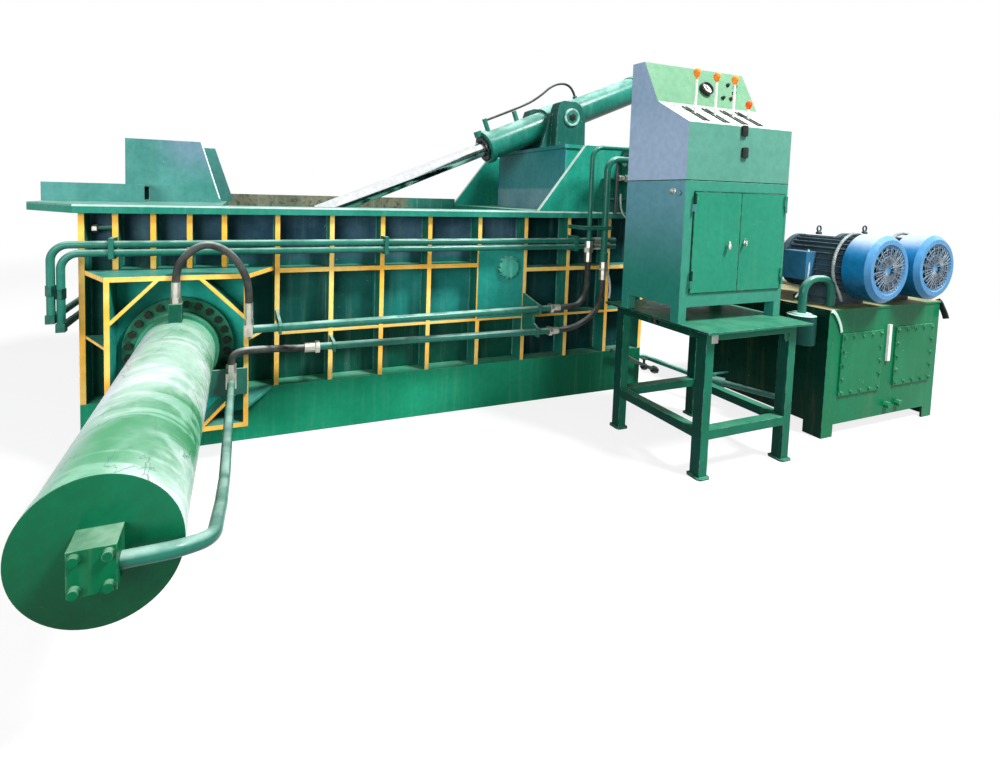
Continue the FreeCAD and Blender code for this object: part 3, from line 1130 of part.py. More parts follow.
def make_hoses():
    """The five black hoses with pressed ends, each between two fittings."""
    radius = size("hose_radius")
    y = size("port_place")
    tube("top_port_hose", [
        ([(size("side_axis"), y, 880), (size("side_axis"), y, 935), (470, y, 1000),
          (545, y, 1052), (640, y, 1022), (705, y, 940), (737, y, 855), (737, y, 772)], radius)])
    x, y, z = REAR_PIPE_TOP
    left = LOW_LINE_START[0] - 78
    tube("rear_line_hose", [
        ([(x, y, z + 40), (x, y, z + 64), (x + 19, y, z + 87), (715, y + 2, z + 96),
          (800, -235, 545), (930, -137, 508),
          (left - 40, LOW_LINE_START[1], LOW_LINE_START[2]),
          (left, LOW_LINE_START[1], LOW_LINE_START[2])], radius)])
    thin, thick, off = size("thin_riser"), size("thick_riser"), size("riser_out")
    right, out, up = HIGH_LINE_END
    tube("upper_riser_hose", [
        ([(right + 70, out, up), (right + 150, out, up), (2680, off - 8, 650),
          (thin + 2, off, 740), (thin, off, 830), (thin, off, 905)], radius)])
    right, out, up = LOW_LINE_END
    tube("lower_riser_hose", [
        ([(right + 70, out, up), (right + 160, out, up), (2722, off - 5, 536),
          (2815, off, 606), (thick - 4, off, 700), (thick, off, 745), (thick, off, 790)],
         radius)])
    lean = math.atan2(size("trunnion_level") - size("lug_level"),
                      size("trunnion_place") - size("lug_place"))
    x0, z0, middle = size("trunnion_place"), size("trunnion_level"), size("box_width") / 2
    top, line = size("barrel_radius"), size("line_height")
    port = size("rear_port")

    def on_barrel(along, above):
        return (x0 + along * math.cos(lean) - (top + above) * math.sin(lean), middle,
                z0 + along * math.sin(lean) + (top + above) * math.cos(lean))

    tube("lid_hose", [
        ([on_barrel(-548, line), on_barrel(-200, line), on_barrel(-40, line + 26),
          on_barrel(90, line + 72), on_barrel(205, line + 62), on_barrel(port, line),
          on_barrel(port, size("rear_port_height"))], size("hose_thin"))])


def make_valve_blocks():
    """Valve block on the tower and the lever valves inside the console."""
    blocks = body("valve_blocks")
    off = "tower_inset"
    shelf, next_shelf = f"{FLANGE_TOP} + 91", f"{FLANGE_TOP} + 221"
    pad(blocks, "XZ", "-170", off, [box_corners("3095", "3255", next_shelf, "tower_top - 5")])
    pad(blocks, "XZ", "-130", off, [box_corners("3110", "3240", shelf, f"{next_shelf} - 8")])
    pad(blocks, "XY", "1500", "desk_front - 30 - lever_hub - 0.3",
        [box_corners(f"{slot} - 42", f"{slot} + 42", "slot_near + 10", "slot_far + 20")
         for slot in SLOTS])
    pad(blocks, "XY", "cabinet_seam + sheet_wall", "1500",
        [box_corners("slot_1 - 60", "slot_4 + 60", "slot_near", "slot_far + 40")])


def make_pipe_clamps():
    """Clamps and stand-off brackets that hold the pipes to the ribs."""
    clamps = body("pipe_clamps")
    out = "upper_line_out"
    high, low = "upper_line_high + 30", "upper_line_low - 26"
    places = ("left_rib_start + 2", "middle_rib_start + middle_rib_pitch * 2 + 2",
              "right_rib_start + right_rib_pitch * 2 + 2")
    for place in places:
        pad(clamps, "YZ", place, f"{place} + 21", [box_corners(f"{out} - 24", "0", low, high)],
            [(out, "upper_line_high", "pipe_radius + 0.3"),
             (out, "upper_line_low", "pipe_radius + 0.3")])

    def on_line(line, place):
        """Depth and height of a lower line where it passes a rib."""
        start, end = line
        share = f"(({place} + 12 - {start[0]}) / {end[0] - start[0]})"
        return (f"({start[1]} + {end[1] - start[1]} * {share})",
                f"({start[2]} + {end[2] - start[2]} * {share})")

    # arms that reach out to the two lower lines, each ending in a ring round its pipe
    upper, lower = (HIGH_LINE_START, HIGH_LINE_END), (LOW_LINE_START, LOW_LINE_END)
    for line, place in ((upper, "middle_rib_start"),
                        (lower, "middle_rib_start + middle_rib_pitch")):
        depth, level = on_line(line, place)
        pad(clamps, "YZ", f"{place} + 5", f"{place} + 19",
            [[(f"{depth} - 26", f"{level} - 26"), (f"{depth} + 22", f"{level} - 26"),
              ("0", f"{level} - 8"), ("0", f"{level} + 30"), (f"{depth} - 10", f"{level} + 26"),
              (f"{depth} - 26", f"{level} + 14")]], [(depth, level, "line_radius + 1.5")])
    # one wide plate carries both at their right ends
    place = "right_rib_start + right_rib_pitch"
    (depth, level), (deep, low_level) = on_line(upper, place), on_line(lower, place)
    pad(clamps, "YZ", f"{place} + 5", f"{place} + 19",
        [[("0", f"{low_level} - 20"), (f"{deep} + 20", f"{low_level} - 28"),
          (f"{deep} - 26", f"{low_level} - 28"), (f"{deep} - 26", f"{low_level} + 24"),
          (f"{deep} + 26", f"{low_level} + 46"), (f"{deep} + 26", f"{level} - 44"),
          (f"{depth} - 26", f"{level} - 26"), (f"{depth} - 26", f"{level} + 24"),
          ("0", f"{level} + 64")]],
        [(depth, level, "line_radius + 1.5"), (deep, low_level, "line_radius + 1.5")])
    # bar across the two risers, standing off the rib behind it
    stay = "right_rib_start + right_rib_pitch * 2"
    pad(clamps, "XY", "1104", "1126",
        [[("thin_riser - 62", "riser_out - 30"), ("thick_riser + 28", "riser_out - 30"),
          ("thick_riser + 28", "riser_out + 30"), (f"{stay} + 22", "riser_out + 30"),
          (f"{stay} + 22", "0"), (f"{stay} + 2", "0"), (f"{stay} + 2", "riser_out + 30"),
          ("thin_riser - 62", "riser_out + 30")]],
        [("thin_riser", "riser_out", "thin_radius + 0.3"),
         ("thick_riser", "riser_out", "thick_radius + 0.3")])
    # plate that holds the rear pipe's elbow on the bracket's right leg
    x, y, _ = REAR_PIPE_TOP
    pad(clamps, "XZ", "-1 * bracket_depth - 12", "-1 * bracket_depth",
        [box_corners("572", f"{x + 70}", "340", "462")])


def make_pipe_fittings():
    """Unions, elbows and hose ends as plain hexagonal pieces and blocks."""
    nuts = body("pipe_fittings")
    # hose ends of the two lower lines
    for x, y, z in (HIGH_LINE_END, LOW_LINE_END):
        pad(nuts, "YZ", f"{x + 1.2}", f"{x + 22}", [regular(f"{y}", f"{z}", "29", 6)])
        pad(nuts, "YZ", f"{x + 22}", f"{x + 70}", [regular(f"{y}", f"{z}", "22", 8, 22.5)])
    x, y, z = LOW_LINE_START
    pad(nuts, "YZ", f"{x - 24}", f"{x - 0.8}", [regular(f"{y}", f"{z}", "31", 6)])
    pad(nuts, "YZ", f"{x - 78}", f"{x - 24}", [regular(f"{y}", f"{z}", "24", 8, 22.5)])
    # top port: nut and pressed end on the saddle block; pressed end and elbow at the far side
    pad(nuts, "XY", "port_top", "port_top + 26", [regular("side_axis", "port_place", "24", 6)])
    pad(nuts, "XY", "port_top + 26", "880", [regular("side_axis", "port_place", "20", 8, 22.5)])
    x, y, z = HIGH_LINE_START
    pad(nuts, "XY", f"{z + 24}", f"{z + 50}", [regular(f"{x - 19}", f"{y}", "22", 6)])
    pad(nuts, "XY", f"{z + 50}", "772", [regular("737", f"{y}", "20", 8, 22.5)])
    pad(nuts, "XY", f"{z - 30}", f"{z + 24}", [box_corners(f"{x - 38}", f"{x - 1.2}", f"{y - 19}",
                                                           "-1 * bracket_depth - 0.3")])
    # unions of the two risers
    for place, low, top in (("thin_riser", 905, 1034), ("thick_riser", 790, 902.7)):
        pad(nuts, "XY", f"{low}", f"{low + 60}", [regular(place, "riser_out", "21", 8, 22.5)])
        pad(nuts, "XY", f"{low + 60}", f"{top - 40}", [regular(place, "riser_out", "30", 6)])
        pad(nuts, "XY", f"{top - 40}", f"{top}", [regular(place, "riser_out", "24", 8, 22.5)])
    # unions on the two upper lines, beside the cabinet
    for level in ("upper_line_high", "upper_line_low"):
        pad(nuts, "YZ", "thick_riser - 19", "thick_riser + 55",
            [regular("upper_line_out", level, "20.5", 8, 22.5)],
            [("upper_line_out", level, "pipe_radius + 0.2")])
    # left wrap: unions on the two drops, and the hose ends that lead round the corner
    for place, level in (("drop_outer", 805), ("drop_inner", 790)):
        pad(nuts, "XY", f"{level}", f"{level + 46}",
            [regular(place, "upper_line_out", "20.5", 8, 22.5)],
            [(place, "upper_line_out", "pipe_radius + 0.2")])
    for place, low, top in (("drop_outer", 681, 720), ("drop_inner", 641, 680)):
        pad(nuts, "XY", f"{low}", f"{top}",
            [box_corners(f"{place} - 18", f"{place} + 18", "upper_line_out - 18",
                         "upper_line_out + 18")])
        pad(nuts, "XZ", "upper_line_out + 18", "90",
            [regular(place, f"{(low + top) / 2}", "18", 8, 22.5)])
    # rear pipe: elbow block, and the nut under the hose
    x, y, z = REAR_PIPE_TOP
    pad(nuts, "XY", "386", f"{z}", [box_corners(f"{x - 23}", f"{x + 23}", f"{y - 24}",
                                                "-1 * bracket_depth - 12")])
    pad(nuts, "XY", f"{z}", f"{z + 40}", [regular(f"{x}", f"{y}", "23", 6)])
    # gate cylinder ports
    for place in ("914", "1490"):
        pad(nuts, "XY", "gate_ram_level + gate_ram_radius + 12",
            "gate_ram_level + gate_ram_radius + 36",
            [regular(place, "box_width + gate_ram_offset", "22", 6)])


def make_valve_handle():
    """Lever of the shut-off valve on the suction pipe."""
    (x0, y0, z0), (x1, y1, z1) = SUCTION_VALVE
    handle = body("valve_handle", f"{(x0 + x1) / 2}", f"{(y0 + y1) / 2}", f"{(z0 + z1) / 2}")
    pad(handle, "XY", "30.3", "46", [], [("0", "0", "14")])
    pad(handle, "XY", "38", "46", [[("-8", "-9"), ("120", "-9"), ("132", "0"), ("120", "9"),
                                    ("-8", "9")]])


MAKERS = (make_base_frame, make_front_wall, make_front_ribs, make_back_wall, make_end_walls,
          make_top_flange, make_end_cover, make_gate_beam, make_cylinder_bracket,
          make_side_cylinder, make_flange_bolts, make_port_blocks, make_side_ram,
          make_main_cylinder, make_main_ram, make_hinge_shaft, make_lid, make_tower,
          make_trunnion_bearings, make_lid_cylinder, make_lid_rod, make_gate, make_gate_guides,
          make_gate_cylinder, make_stand, make_cabinet, make_console, make_panel_fittings,
          make_gauge_pointer, make_buttons, make_levers, make_doors, make_tank,
          make_tank_fittings, make_motors, make_cowls, make_fans, make_pumps, make_pipes,
          make_hoses, make_valve_blocks, make_pipe_clamps, make_pipe_fittings,
          make_valve_handle)

for make in MAKERS:
    make()
doc.recompute()

failed = [f"{item.Name}: {item.State}" for item in doc.Objects
          if "Invalid" in item.State or "Error" in item.State]
pieces = [item for item in doc.Objects
          if item.TypeId == "PartDesign::Body" or item.TypeId == "Part::Feature"]
for piece in pieces:
    if piece.Shape.isNull() or not piece.Shape.isValid() or not piece.Shape.Solids:
        failed.append(f"{piece.Label}: no valid solid")
if failed:
    raise RuntimeError("; ".join(failed))

os.makedirs("parts", exist_ok=True)
for piece in pieces:
    piece.Shape.exportStep(f"parts/{piece.Label}.step")
print(len(pieces), "pieces written")
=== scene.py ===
# %% [markdown]
# A scrap-metal baling press, dressed for a photograph.
# The press was drawn in a CAD program first, so its sizes and its moving pieces are settled. This lesson
# gives it what a drawing lacks: hoses that sag, paint with wear, rust and dust, and the small pieces that
# a maker fits last. It starts by loading the drawing as a frame that nothing here may move.

# %% Load the frame
import math

import bpy
import numpy as np
from mathutils import Matrix, Vector


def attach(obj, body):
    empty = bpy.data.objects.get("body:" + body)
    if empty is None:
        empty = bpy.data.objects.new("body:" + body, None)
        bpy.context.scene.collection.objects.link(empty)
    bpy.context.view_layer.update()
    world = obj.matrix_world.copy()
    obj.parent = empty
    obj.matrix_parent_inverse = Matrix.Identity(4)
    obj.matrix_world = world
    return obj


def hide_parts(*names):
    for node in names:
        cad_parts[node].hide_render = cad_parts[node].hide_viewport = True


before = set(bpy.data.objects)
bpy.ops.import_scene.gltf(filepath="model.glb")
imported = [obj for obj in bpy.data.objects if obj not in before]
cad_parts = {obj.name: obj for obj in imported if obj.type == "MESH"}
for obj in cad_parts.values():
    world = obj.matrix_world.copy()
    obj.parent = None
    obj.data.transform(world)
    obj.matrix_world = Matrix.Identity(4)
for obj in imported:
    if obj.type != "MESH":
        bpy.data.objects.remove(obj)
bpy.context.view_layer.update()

# %% [markdown]
# The press was drawn in millimetres from one corner: X along the box from its left end, Y from the
# outer edge of its front ribs, Z from the floor. Two small helpers turn such numbers into the frame's
# metres, so that every number below can be read off the same drawing.

# %% From the drawing's millimetres to metres
BOX_LONG, BOX_DEEP = 3310, 1400
MIDDLE = (BOX_LONG / 2, BOX_DEEP / 2, 0)


def metres(axis, value):
    """A place along X, Y or Z in the frame's metres: less the box's middle, divided by a thousand."""
    return (value - MIDDLE["XYZ".index(axis)]) / 1000


def place(x, y, z):
    """A point of the drawing in the frame's metres."""
    return metres("X", x), metres("Y", y), metres("Z", z)


print("the hinge of the lid is at", place(2242, 700, 863))

# %% [markdown]
# The camera stands at the left front, a little above the press box's flange, with a wide lens. A wide
# lens close by makes the side cylinder's end look huge. The picture's centre is not where the lens
# points, which a shift of the sensor gives without turning the uprights.

# %% Camera
def placed(name, data):
    """A new object in the scene, made of a mesh, a curve, a lamp or a lens."""
    made = bpy.data.objects.new(name, data)
    bpy.context.scene.collection.objects.link(made)
    return made


eye = Vector(place(706.8, -2613.7, 1295.6))
turn, dip, roll = 0.3453, 0.0568, -0.0264  # radians: to the right, down, and about the lens's axis
ahead = Vector((math.sin(turn) * math.cos(dip), math.cos(turn) * math.cos(dip), -math.sin(dip)))
level_right = Vector((math.cos(turn), -math.sin(turn), 0.0))
level_down = ahead.cross(level_right)
right = math.cos(roll) * level_right + math.sin(roll) * level_down
down = -math.sin(roll) * level_right + math.cos(roll) * level_down
lens = bpy.data.cameras.new("lens")
lens.sensor_width = 36.0
lens.lens = 17.588
lens.shift_x = 0.0821
lens.shift_y = -0.1611
lens.clip_start = 0.05
lens.clip_end = 200.0
camera = placed("camera", lens)
camera.matrix_world = Matrix((
    (right.x, -down.x, -ahead.x, eye.x),
    (right.y, -down.y, -ahead.y, eye.y),
    (right.z, -down.z, -ahead.z, eye.z),
    (0.0, 0.0, 0.0, 1.0)))
bpy.context.scene.camera = camera
bpy.context.scene.view_settings.view_transform = "Standard"
print("the camera stands", round(eye.z, 3), "m above the floor")

# %% [markdown]
# Five rubber hoses carry the oil where something moves or shakes. A hose leaves its fitting straight,
# then bends as evenly as its own stiffness lets it. A NURBS curve drawn between a few points does just
# that, while a polyline would look like bent wire. Each stands for the hose drawn in the CAD.


# %% Hoses
def hose(name, node, body, radius, points):
    """A NURBS curve of order three on its points; its round section is a unit circle times the radius."""
    curve = bpy.data.curves.new(name, "CURVE")
    curve.dimensions = "3D"
    curve.resolution_u = 24
    curve.bevel_depth = 1.0
    curve.bevel_resolution = 6
    curve.use_fill_caps = True
    spline = curve.splines.new("NURBS")
    spline.points.add(len(points) - 1)
    for slot, point in zip(spline.points, points):
        slot.co = (*place(*point), 1.0)
        slot.radius = radius / 1000
    spline.order_u = 3
    spline.use_endpoint_u = True
    piece = placed(name, curve)
    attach(piece, body)
    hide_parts(node)
    return piece


# %% [markdown]
# Four hoses join points of the drawing. The fifth rides on the lid cylinder, which lies on a slope, so
# its points are told along and above the barrel instead.

# %% Where the hoses run
TRUNNION, ROD_EYE = (3000, 700, 1893), (1080, 700, 1107)
LEAN = math.atan2(TRUNNION[2] - ROD_EYE[2], TRUNNION[0] - ROD_EYE[0])
BARREL_RADIUS = 107


def on_barrel(along, above):
    """A point of the drawing: along the lid cylinder's axis from its trunnions, and above its barrel."""
    out = BARREL_RADIUS + above
    return (TRUNNION[0] + along * math.cos(LEAN) - out * math.sin(LEAN), TRUNNION[1],
            TRUNNION[2] + along * math.sin(LEAN) + out * math.cos(LEAN))


hoses = (
    hose("hose_at_side_cylinder", "top_port_hose", "machine", 17, [
        (432, -245, 880), (432, -245, 935), (470, -245, 1000), (545, -245, 1052), (640, -245, 1022),
        (705, -245, 940), (737, -245, 855), (737, -245, 772)]),
    hose("hose_at_rear_line", "rear_line_hose", "machine", 17, [
        (662, -260, 496), (662, -260, 520), (681, -260, 543), (715, -258, 552), (800, -235, 545),
        (930, -137, 508), (970, -96, 492), (1010, -96, 492)]),
    hose("hose_at_thin_riser", "upper_riser_hose", "machine", 17, [
        (2510, -158, 634), (2590, -158, 634), (2680, -148, 650), (2724, -140, 740), (2722, -140, 830),
        (2722, -140, 905)]),
    hose("hose_at_thick_riser", "lower_riser_hose", "machine", 17, [
        (2510, -152, 494), (2600, -152, 494), (2722, -145, 536), (2815, -140, 606), (2836, -140, 700),
        (2840, -140, 745), (2840, -140, 790)]),
    hose("hose_on_lid_cylinder", "lid_hose", "lid_cylinder", 9, [
        on_barrel(-548, 84), on_barrel(-200, 84), on_barrel(-40, 110), on_barrel(90, 156),
        on_barrel(205, 146), on_barrel(270, 84), on_barrel(270, 16)]))
print("hoses:", len(hoses))

# %% [markdown]
# Paint is the main finish of this machine, and paint on a workshop machine is never one colour. Two
# node groups hold what all the enamels share. The first rounds each sharp edge for the light and finds
# where the edges are. The second lays tone, streaks, chips and dust over a colour, and on some paints
# that pale layer on the upper faces is a painted sheen as well. Groups are built once, and each paint
# sets its own values on them.


# %% Small helpers for node trees
def wire(tree, source, target):
    """Joins two sockets."""
    tree.links.new(source, target)


def node(tree, kind, **settings):
    """A node of a kind, with its own settings given by name."""
    made = tree.nodes.new(kind)
    for name, value in settings.items():
        setattr(made, name, value)
    return made


def feed(tree, sockets, given):
    """Fills sockets, by name or number, each with a number, a vector, a colour or another socket."""
    for label, value in given.items():
        socket = sockets[label]
        if isinstance(value, (int, float)):
            socket.default_value = value
        elif isinstance(value, tuple):
            socket.default_value = value if socket.type == "VECTOR" else (*value, 1.0)
        else:
            wire(tree, value, socket)


def maths(tree, operation, first, second=0.0, clamp=False):
    """A Math node: its result from one or two numbers or sockets."""
    made = node(tree, "ShaderNodeMath", operation=operation, use_clamp=clamp)
    feed(tree, made.inputs, {0: first, 1: second})
    return made.outputs[0]


def times(tree, first, second, clamp=False):
    """The product of two numbers or sockets."""
    return maths(tree, "MULTIPLY", first, second, clamp)


def ramp(tree, value, low, high, to_low=0.0, to_high=1.0):
    """A smooth step: to_low where the value is under low, to_high where it is over high."""
    made = node(tree, "ShaderNodeMapRange", interpolation_type="SMOOTHSTEP")
    feed(tree, made.inputs, {"Value": value, "From Min": low, "From Max": high,
                             "To Min": to_low, "To Max": to_high})
    return made.outputs["Result"]


def blend(tree, mask, first, second, mode="MIX"):
    """A colour between two, by a mask or a number. Each is a socket or a written colour."""
    made = node(tree, "ShaderNodeMix", data_type="RGBA", blend_type=mode, clamp_factor=True)
    feed(tree, made.inputs, {"Factor": mask, 6: first, 7: second})
    return made.outputs[2]


def noise(tree, where, scale, detail=3.0, stretch=None, roughness=0.55, distortion=0.0):
    """Cloudy noise from 0 to 1 at a place, stretched by three numbers if they are given."""
    if stretch:
        mapped = node(tree, "ShaderNodeMapping", vector_type="POINT")
        feed(tree, mapped.inputs, {"Vector": where, "Scale": stretch})
        where = mapped.outputs["Vector"]
    made = node(tree, "ShaderNodeTexNoise", noise_dimensions="3D")
    feed(tree, made.inputs, {"Vector": where, "Scale": scale, "Detail": detail,
                             "Roughness": roughness, "Distortion": distortion})
    return made.outputs["Fac"]


def split(tree, vector):
    """The X, Y and Z of a vector, to be taken by name."""
    made = node(tree, "ShaderNodeSeparateXYZ")
    wire(tree, vector, made.inputs[0])
    return made.outputs


def group(name, inputs, outputs):
    """A node group with its sockets: (name, kind, value) in, (name, kind) out. Gives back its tree,
    what comes into it and what goes out."""
    tree = bpy.data.node_groups.new(name, "ShaderNodeTree")
    for label, kind, value in inputs:
        socket = tree.interface.new_socket(label, in_out="INPUT", socket_type=kind)
        socket.default_value = value
    for label, kind in outputs:
        tree.interface.new_socket(label, in_out="OUTPUT", socket_type=kind)
    return tree, tree.nodes.new("NodeGroupInput").outputs, tree.nodes.new("NodeGroupOutput").inputs


FLOAT, COLOUR, VECTOR = "NodeSocketFloat", "NodeSocketColor", "NodeSocketVector"
print("helpers: wire, node, feed, maths, times, ramp, blend, noise, split, group")

# %% [markdown]
# On a real machine every arris is a little round, and it is where the paint goes first. Rounding all of
# them in the mesh would cost millions of faces. The Bevel node turns only the light, and how far it
# turned the face's own direction says how near an edge is.


# %% The edge finder
def make_edge_finder():
    """Mask = how far the rounded normal turns from the face's own normal, broken up by noise."""
    tree, given, result = group("edge_finder", [("Radius", FLOAT, 0.006), ("Breakup", FLOAT, 28.0)],
                                [("Mask", FLOAT), ("Normal", VECTOR)])
    rounded = node(tree, "ShaderNodeBevel", samples=4)
    wire(tree, given["Radius"], rounded.inputs["Radius"])
    near = node(tree, "ShaderNodeVectorMath", operation="DOT_PRODUCT")
    feed(tree, near.inputs, {0: rounded.outputs[0],
                             1: node(tree, "ShaderNodeNewGeometry").outputs["Normal"]})
    edge = ramp(tree, maths(tree, "SUBTRACT", 1.0, near.outputs["Value"]), 0.02, 0.22)
    where = node(tree, "ShaderNodeTexCoord").outputs["Object"]
    patchy = ramp(tree, noise(tree, where, given["Breakup"], 4.0, roughness=0.5), 0.42, 0.62)
    feed(tree, result, {"Mask": times(tree, edge, patchy), "Normal": rounded.outputs[0]})
    return tree


EDGE_FINDER = make_edge_finder()
print("group:", EDGE_FINDER.name)

# %% [markdown]
# Sprayed enamel is thick and uneven. Water and oil run down it, chips open it to the undercoat, and dust
# lies on what faces up. On some paints that pale layer on top also stands for a painted sheen of the sky.
# Each of these is a noise of its own, laid over the colour before it.


# %% The enamel
def make_enamel():
    """Colour = paint mottled with a second tone, streaked downwards, chipped, and given dust and painted
    sheen on top.
    """
    tree, given, result = group("enamel", [
        ("Paint", COLOUR, (0.03, 0.2, 0.12, 1)), ("Second", COLOUR, (0.04, 0.26, 0.16, 1)),
        ("Under", COLOUR, (0.25, 0.22, 0.2, 1)), ("Dust And Sheen", COLOUR, (0.5, 0.48, 0.42, 1)),
        ("Tone Scale", FLOAT, 2.5), ("Streaks", FLOAT, 0.3), ("Chips", FLOAT, 0.3),
        ("Dust And Sheen Amount", FLOAT, 0.3), ("Gloss", FLOAT, 0.3), ("Edge", FLOAT, 0.0)],
        [("Color", COLOUR), ("Roughness", FLOAT), ("Height", FLOAT)])
    where = node(tree, "ShaderNodeTexCoord").outputs["Object"]
    mottle = ramp(tree, noise(tree, where, given["Tone Scale"], 5.0, roughness=0.6), 0.36, 0.64)
    colour = blend(tree, mottle, given["Paint"], given["Second"])
    grain = noise(tree, where, 34.0, 4.0)
    colour = blend(tree, 1.0, colour, ramp(tree, grain, 0.3, 0.7, 0.93, 1.05), "MULTIPLY")
    # runs of water and oil: noise drawn out along the height
    runs = noise(tree, where, 1.0, 4.0, (26.0, 26.0, 1.6), 0.62, 0.3)
    run_mask = times(tree, ramp(tree, runs, 0.5, 0.72), given["Streaks"])
    colour = blend(tree, run_mask, colour, given["Dust And Sheen"])
    dark_runs = noise(tree, where, 1.0, 3.0, (11.0, 11.0, 0.9), 0.6, 0.4)
    dark_mask = times(tree, ramp(tree, dark_runs, 0.52, 0.7), times(tree, given["Streaks"], 0.8))
    colour = blend(tree, dark_mask, colour, (0.012, 0.03, 0.025))
    # chips down to the undercoat, on edges and in a few specks on the faces
    specks = ramp(tree, noise(tree, where, 70.0, 5.0), 0.69, 0.72)
    patch = ramp(tree, noise(tree, where, 3.2, 3.0), 0.5, 0.62)
    chip = maths(tree, "MAXIMUM", times(tree, times(tree, specks, patch), given["Chips"]),
                 times(tree, given["Edge"], given["Chips"]), clamp=True)
    colour = blend(tree, chip, colour, given["Under"])
    # dust lies on what faces up, and on some paints the same mask lays a painted sheen there
    facing = split(tree, node(tree, "ShaderNodeNewGeometry").outputs["Normal"])
    drift = ramp(tree, noise(tree, where, 9.0, 4.0), 0.35, 0.65, 0.35, 1.0)
    dust_and_sheen = times(tree, times(tree, ramp(tree, facing["Z"], 0.35, 0.95), drift), given["Dust And Sheen Amount"],
                 clamp=True)
    colour = blend(tree, dust_and_sheen, colour, given["Dust And Sheen"])
    # dust and painted sheen, chips and runs are rougher than the gloss
    rough = maths(tree, "ADD", given["Gloss"], ramp(tree, grain, 0.3, 0.7, 0.0, 0.14))
    for mask, rougher in ((dust_and_sheen, 0.45), (chip, 0.25), (run_mask, 0.3)):
        rough = maths(tree, "ADD", rough, times(tree, mask, rougher), clamp=True)
    # orange peel and shallow dents, less the depth of the chips
    height = maths(tree, "ADD", times(tree, noise(tree, where, 240.0, 2.0), 0.10),
                   times(tree, noise(tree, where, 5.0, 2.0), 1.6))
    height = maths(tree, "SUBTRACT", height, times(tree, chip, 0.5))
    feed(tree, result, {"Color": colour, "Roughness": rough, "Height": height})
    return tree


ENAMEL = make_enamel()
print("group:", ENAMEL.name)

# %% [markdown]
# A paint is a material that holds both groups. Where a piece has more than one colour, a mask says where
# the next one goes: a mask by place, by the way that a face looks, or by a cloud of noise. Masks are
# multiplied where all of them must hold, so each patch of colour is said in the drawing's own numbers.


# %% Materials from the two groups
class Paint:
    """One enamel: its material, the enamel group in it and the masks that patch it."""

    def __init__(self, name, paint, second, under=(0.2, 0.19, 0.18), dust_and_sheen=(0.24, 0.40, 0.32),
                 tone=2.5, streaks=0.25, chips=0.5, dust_and_sheen_amount=0.3, gloss=0.3, radius=0.004,
                 metal=0.0, shine=0.06, bump=0.0009):
        self.material = bpy.data.materials.new(name)
        self.material.use_nodes = True
        tree = self.tree = self.material.node_tree
        edge = node(tree, "ShaderNodeGroup", node_tree=EDGE_FINDER)
        feed(tree, edge.inputs, {"Radius": radius})
        self.enamel = node(tree, "ShaderNodeGroup", node_tree=ENAMEL)
        feed(tree, self.enamel.inputs, {
            "Paint": paint, "Second": second, "Under": under, "Dust And Sheen": dust_and_sheen, "Tone Scale": tone,
            "Streaks": streaks, "Chips": chips, "Dust And Sheen Amount": dust_and_sheen_amount, "Gloss": gloss,
            "Edge": edge.outputs["Mask"]})
        bumped = node(tree, "ShaderNodeBump")
        feed(tree, bumped.inputs, {
            "Strength": 0.6, "Distance": bump, "Height": self.enamel.outputs["Height"],
            "Normal": edge.outputs["Normal"]})
        feed(tree, tree.nodes["Principled BSDF"].inputs, {
            "Base Color": self.enamel.outputs["Color"], "Roughness": self.enamel.outputs["Roughness"],
            "Normal": bumped.outputs["Normal"], "Metallic": metal, "Specular IOR Level": shine})
        surface = node(tree, "ShaderNodeTexCoord").outputs
        self.spot = surface["Object"]
        self.where = split(tree, self.spot)
        self.facing = split(tree, surface["Normal"])

    def along(self, axis, low, high, to_low=0.0, to_high=1.0):
        """A smooth step between two places of the drawing, in millimetres along an axis."""
        return ramp(self.tree, self.where[axis], metres(axis, low), metres(axis, high), to_low, to_high)

    def between(self, axis, low, high, soft):
        """A mask that is one between two places of the drawing, and fades over soft on either side."""
        return self.all_of(self.along(axis, low - soft, low + soft),
                           self.along(axis, high - soft, high + soft, 1.0, 0.0))

    def looking(self, axis, low, high, to_low=0.0, to_high=1.0):
        """A smooth step on how far the surface looks along an axis, from -1 to 1."""
        return ramp(self.tree, self.facing[axis], low, high, to_low, to_high)

    def front(self, full=-0.85, none=-0.6):
        """A mask of the faces that look forwards, against Y."""
        return self.looking("Y", full, none, 1.0, 0.0)

    def left(self, full=-0.9, none=-0.6):
        """A mask of the faces that look left, against X."""
        return self.looking("X", full, none, 1.0, 0.0)

    def cloud(self, stretch, roughness, distortion):
        """Noise on the piece, stretched by three numbers."""
        return noise(self.tree, self.spot, 1.0, 4.0, stretch, roughness, distortion)

    def all_of(self, product, *masks):
        """A mask that is one only where all of these are: their product."""
        for mask in masks:
            product = times(self.tree, product, mask)
        return product

    def any_of(self, first, second):
        """A mask that is one where either of two is: the larger."""
        return maths(self.tree, "MAXIMUM", first, second)

    def all_but(self, mask):
        """A mask that is one where another is zero."""
        return maths(self.tree, "SUBTRACT", 1.0, mask)

    def lay(self, mask, paint, second):
        """Lays another paint and its second tone over the enamel's two, where a mask is one."""
        for label, colour in (("Paint", paint), ("Second", second)):
            socket = self.enamel.inputs[label]
            before = socket.links[0].from_socket if socket.is_linked else tuple(socket.default_value)[:3]
            wire(self.tree, blend(self.tree, mask, before, colour), socket)


def give(paint, *names):
    """Puts a paint on CAD nodes."""
    for name in names:
        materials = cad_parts[name].data.materials
        materials.clear()
        materials.append(paint.material)
    print(paint.material.name, "on", ", ".join(names))


# %% [markdown]
# The press box has one glossy emerald green, more blue where the light is cold. The chalky undercoat and
# the two yellows of the warning edges come back on other pieces, so they have names.

